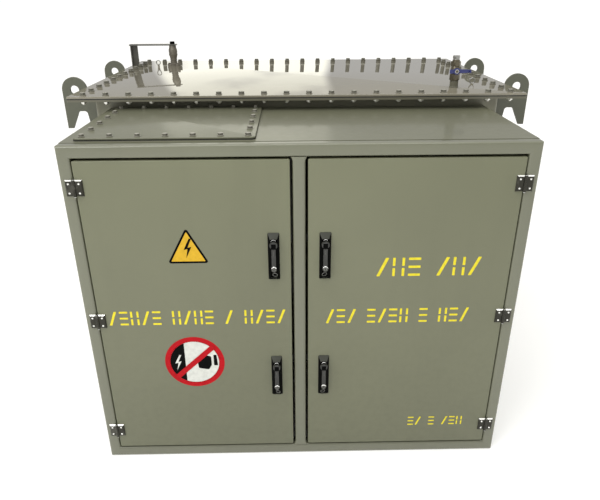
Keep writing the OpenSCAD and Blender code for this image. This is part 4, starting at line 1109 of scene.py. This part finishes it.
hvXs = spread("hv_bushings", 0.058, 3)[0]
hvZs = np.linspace(hvHi[2] - 0.058, hvLo[2] + 0.058, 3)
lvXs, lvZ = spread("lv_bushings", 0.05, 4)
fuseXs, fuseZ = spread("fuse_housings", 0.038, 3)
hvSeats = [(x, wallY, z) for x, z in zip(hvXs, hvZs)]
lvSeats = [(x, wallY, lvZ) for x in lvXs]
fuseSeats = [(x, wallY, fuseZ) for x in fuseXs]
for kind, seats in (("hv", hvSeats), ("lv", lvSeats)):
    put(kind + "Bushings", [fronted(resin[kind], 56, seat) for seat in seats], "housing", epoxy, "epoxy_resin",
        kind + "_bushings")
contact = [(0.3, 207.8), (12.5, 207.8), (12.5, 209.5), (11.8, 210.5), (6.2, 210.5), (5.8, 208.5), (0.3, 208.5)]
put("hvContacts", [fronted(contact, 32, seat) for seat in hvSeats], "housing", tinned, "tinned_copper")
flangeBolt = [(0.3, 9.5), (6.5, 9.5), (6.5, 14.2), (5.6, 15.2), (0.3, 15.2)]
flangeBolts = [fronted(flangeBolt, 24, (x + r * math.cos(a), y, z + r * math.sin(a)), 0.011)
               for seats, r in ((hvSeats, 0.0505), (lvSeats, 0.0435)) for x, y, z in seats
               for a in (np.arange(4) + 0.5) * tau / 4]
put("bushingBolts", flangeBolts, "housing", galvanised, "galvanised")

eyePlateShape = {"hole": 0.0072, "long": 0.0158, "high": 0.0138, "out": 0.134, "half": 0.0038, "edge": 0.0006}


def eyePlate(x, z):
    # a flat eye seen from the side: outer outline and hole as rings of the same count
    shape = eyePlateShape
    a = np.arange(40) * tau / 40
    wave = np.stack([np.cos(a), np.sin(a)], -1)
    hole, outer = wave * shape["hole"], wave * (shape["long"], shape["high"])
    t, soft = shape["half"], shape["half"] - shape["edge"]
    rows = ((hole, -t), (outer * 0.97, -t), (outer, -soft), (outer, soft), (outer * 0.97, t), (hole, t))
    y = wallY - shape["out"]
    rings = [np.stack([np.full(len(a), x + s), y + o[:, 0], z + o[:, 1]], -1) for o, s in rows]
    return closedRings(np.stack(rings))


put("fuseTubes", [fronted(resin["fuse"], 48, seat) for seat in fuseSeats], "housing", epoxy, "epoxy_resin",
    "fuse_housings")
put("fuseEyes", [eyePlate(x, fuseZ) for x in fuseXs], "housing", tinned, "tinned_copper", capped=False)
print("compartments done")

# ---- radiators and welds ----

backY = corners("tank_shell")[1][1]
panelShape = {"flutes": 6, "thin": 0.0028, "thick": 0.0058, "fade": 0.035, "deep": 0.19, "count": 10,
              "pitch": 0.046}
headerShape = {"fromEnd": 0.05, "over": 0.012, "fromBack": 0.175, "branchIn": 0.07}


def radiatorPanel(x, lo, hi):
    # two pressed sheets: half thickness thin + (thick - thin) |sin| across the flutes, which fade out at
    # the top and the foot
    thin, thick = panelShape["thin"], panelShape["thick"]
    s = np.linspace(0, 1, 42)
    y = lo[1] + (hi[1] - lo[1]) * s
    rim = np.clip(np.minimum(s, 1 - s) * 16, 0, 1)
    wave = np.abs(np.sin(s * math.pi * panelShape["flutes"])) ** 0.6 * rim
    z = np.array([0, 0.003, 0.02, 0.035, 0.06, 0.5, 0.94, 0.965, 0.98, 0.997, 1]) * (hi[2] - lo[2]) + lo[2]
    fade = np.clip((np.minimum(z - lo[2], hi[2] - z) - 0.01) / panelShape["fade"], 0, 1)
    fade = fade * fade * (3 - 2 * fade)
    t = thin * np.clip(rim[None] * 3, 0.25, 1) + (thick - thin) * wave[None] * fade[:, None]
    rings = np.empty((len(z), 2 * len(s), 3))
    rings[..., 0] = x + np.concatenate([t, -t[:, ::-1]], 1)
    rings[..., 1] = np.concatenate([y, y[::-1]])
    rings[..., 2] = z[:, None]
    return rings


def radiators():
    # rows of panels on header pipes, with two short branches to the tank at top and foot
    lo, hi = corners("radiators")
    h = headerShape
    pitch, count = panelShape["pitch"], panelShape["count"]
    span, end = (count - 1) * pitch, (count - 1) * pitch / 2 + h["over"]
    pipeY = hi[1] - h["fromBack"]
    panelLo, panelHi = (0, hi[1] - panelShape["deep"], lo[2]), (0, hi[1], hi[2])
    panels, pipes = [], []
    for centre in (end - hi[0], hi[0] - end):
        for k in range(count):
            panels.append(radiatorPanel(centre + k * pitch - span / 2, panelLo, panelHi))
        for z in (lo[2] + h["fromEnd"], hi[2] - h["fromEnd"]):
            pipes.append(turned([(0.024, -end), (0.028, 0.0015 - end), (0.028, end - 0.0015), (0.024, end)],
                                40, 0, (centre, pipeY, z)))
            for s in (-1, 1):
                seat = (centre + s * (span / 2 - h["branchIn"]), 0, z)
                pipes.append(turned([(0.020, backY - 0.0005), (0.020, pipeY)], 32, 1, seat))
                pipes.append(turned([(0.036, backY + 0.0002), (0.036, backY + 0.0075), (0.035, backY + 0.0085),
                                     (0.020, backY + 0.0085)], 40, 1, seat))
    put("radiatorPanels", panels, "housing", tankPaint, "tank_paint", "radiators")
    put("radiatorPipes", pipes, "housing", tankPaint, "tank_paint")


weldShape = {"lug": 0.0036, "flange": 0.0036, "side": 0.003, "roof": 0.0032, "lugHalf": 0.0058, "lugLong": 0.19,
             "tankOut": 0.056}


def welds():
    # beads along the lugs, under the flange, and where the cabinet meets the tank
    w = weldShape
    wallX = postHi[0] + w["tankOut"]
    roofTop = corners("cabinet_roof")[1][2]
    lugLo, lugHi = corners("lifting_lugs")
    feet = [(s * wallX, y + edge) for y in (lugLo[1] + 0.005, lugHi[1] - 0.005) for s in (-1, 1)
            for edge in (-w["lugHalf"], w["lugHalf"])]
    beads = [weldPath((x, y, flangeFoot - w["lugLong"]), (x, y, flangeFoot - 0.002), w["lug"]) for x, y in feet]
    rim = [(x, y, flangeFoot) for y in (wallY, backY) for x in (-wallX, wallX)]
    beads += [weldPath(rim[a], rim[b], w["flange"]) for a, b in ((0, 1), (2, 3), (0, 2), (1, 3))]
    for x in (-postHi[0], postHi[0]):
        beads.append(weldPath((x, wallY, 0.01), (x, wallY, roofTop - 0.004), w["side"]))
    beads.append(weldPath((postLo[0], wallY, roofTop), (postHi[0], wallY, roofTop), w["roof"]))
    put("weldBeads", beads, "housing", tankPaint, "tank_paint")


radiators()
welds()
print("radiators and welds done")

# ---- camera, floor, light ----

view = {"place": (-0.0298, -2.3812, 1.5476), "lens": 34.05, "down": 24.53, "right": 0.93, "roll": -0.34}


def makeCamera():
    # looks along its bearing and dip; the two other axes are turned about that by the roll
    down, right, roll = (math.radians(view[k]) for k in ("down", "right", "roll"))
    ahead = Vector((math.sin(right) * math.cos(down), math.cos(right) * math.cos(down), -math.sin(down)))
    level = Vector((math.cos(right), -math.sin(right), 0))
    upward = level.cross(ahead)
    across = math.cos(roll) * level + math.sin(roll) * upward
    rise = math.cos(roll) * upward - math.sin(roll) * level
    data = bpy.data.cameras.new("mainCamera")
    data.lens = view["lens"]
    data.sensor_width = 36
    data.dof.use_dof = False
    camera = bpy.data.objects.new("mainCamera", data)
    camera.matrix_world = Matrix(((across.x, rise.x, -ahead.x, view["place"][0]),
                                  (across.y, rise.y, -ahead.y, view["place"][1]),
                                  (across.z, rise.z, -ahead.z, view["place"][2]), (0, 0, 0, 1)))
    bpy.context.collection.objects.link(camera)
    bpy.context.scene.camera = camera


floorShape = {"reach": 160, "glow": 0.3}


def makeFloor():
    # wide enough to fill the frame up to the horizon
    reach = floorShape["reach"]
    points = [(-reach, -reach, 0), (reach, -reach, 0), (reach, reach, 0), (-reach, reach, 0)]
    floor = makeMesh("studioFloor", points, [(0, 1, 2, 3)], outward=False)
    floor.data.materials.append(concreteFloor(floorShape["glow"]))


def softbox(name, spot, aim, size, watts):
    data = bpy.data.lights.new(name, "AREA")
    data.shape = "RECTANGLE"
    data.size, data.size_y = size
    data.energy = watts
    lamp = bpy.data.objects.new(name, data)
    lamp.location = spot
    lamp.visible_camera = False
    lamp.rotation_euler = (Vector(aim) - Vector(spot)).to_track_quat("-Z", "Y").to_euler()
    bpy.context.collection.objects.link(lamp)


skyShape = {"horizon": 0.48, "middle": 0.5, "top": 1.35, "card": 0.95, "cardFrom": -12.6, "cardTo": 4,
            "cardHigh": 0.36}


def makeSky():
    # dim along the horizon and bright overhead, with one tall soft card behind the object; the card's
    # sides are bearings in degrees clockwise from the back, its top is a height on the unit sphere
    sky = skyShape
    world = bpy.data.worlds.new("studioSky")
    bpy.context.scene.world = world
    world.use_nodes = True
    air = Finish.__new__(Finish)
    air.tree = world.node_tree
    air.tree.nodes.clear()
    air.coords = air.node("ShaderNodeTexCoord", out="Generated")
    across, back, up = (air.along(axis) for axis in "XYZ")
    bearing = across.maths("ARCTAN2", across, back)
    left, right = (math.radians(sky[k]) for k in ("cardFrom", "cardTo"))
    card = bearing.above(left, 0.012) * bearing.below(right, 0.012)
    drift = air.noise(7.0, 3.0)
    card = card * up.below(sky["cardHigh"], 0.12) * (drift.above(0.42, 0.12) * 0.45 + 0.6)
    strength = up.above(0.25, 0.25) * (sky["middle"] - sky["horizon"]) + sky["horizon"]
    strength = strength + up.above(0.7, 0.25) * (sky["top"] - sky["middle"]) + card * sky["card"]
    tint = air.blendColour(card, (1, 0.99, 0.97, 1), (1, 0.985, 0.87, 1))
    glow = air.node("ShaderNodeBackground", {}, {"Color": tint, "Strength": strength})
    out = air.tree.nodes.new("ShaderNodeOutputWorld")
    air.tree.links.new(glow.end, out.inputs["Surface"])


makeCamera()
makeFloor()
makeSky()
boxAim = (0, -0.4, 0.6)
softbox("keyBox", (-2.6, -3.4, 3.6), boxAim, (2.6, 2.0), 82)
softbox("stripBox", (0, -1.7, 4.3), boxAim, (3.4, 0.5), 38)
bpy.context.scene.view_settings.view_transform = "Standard"

print("stage done")
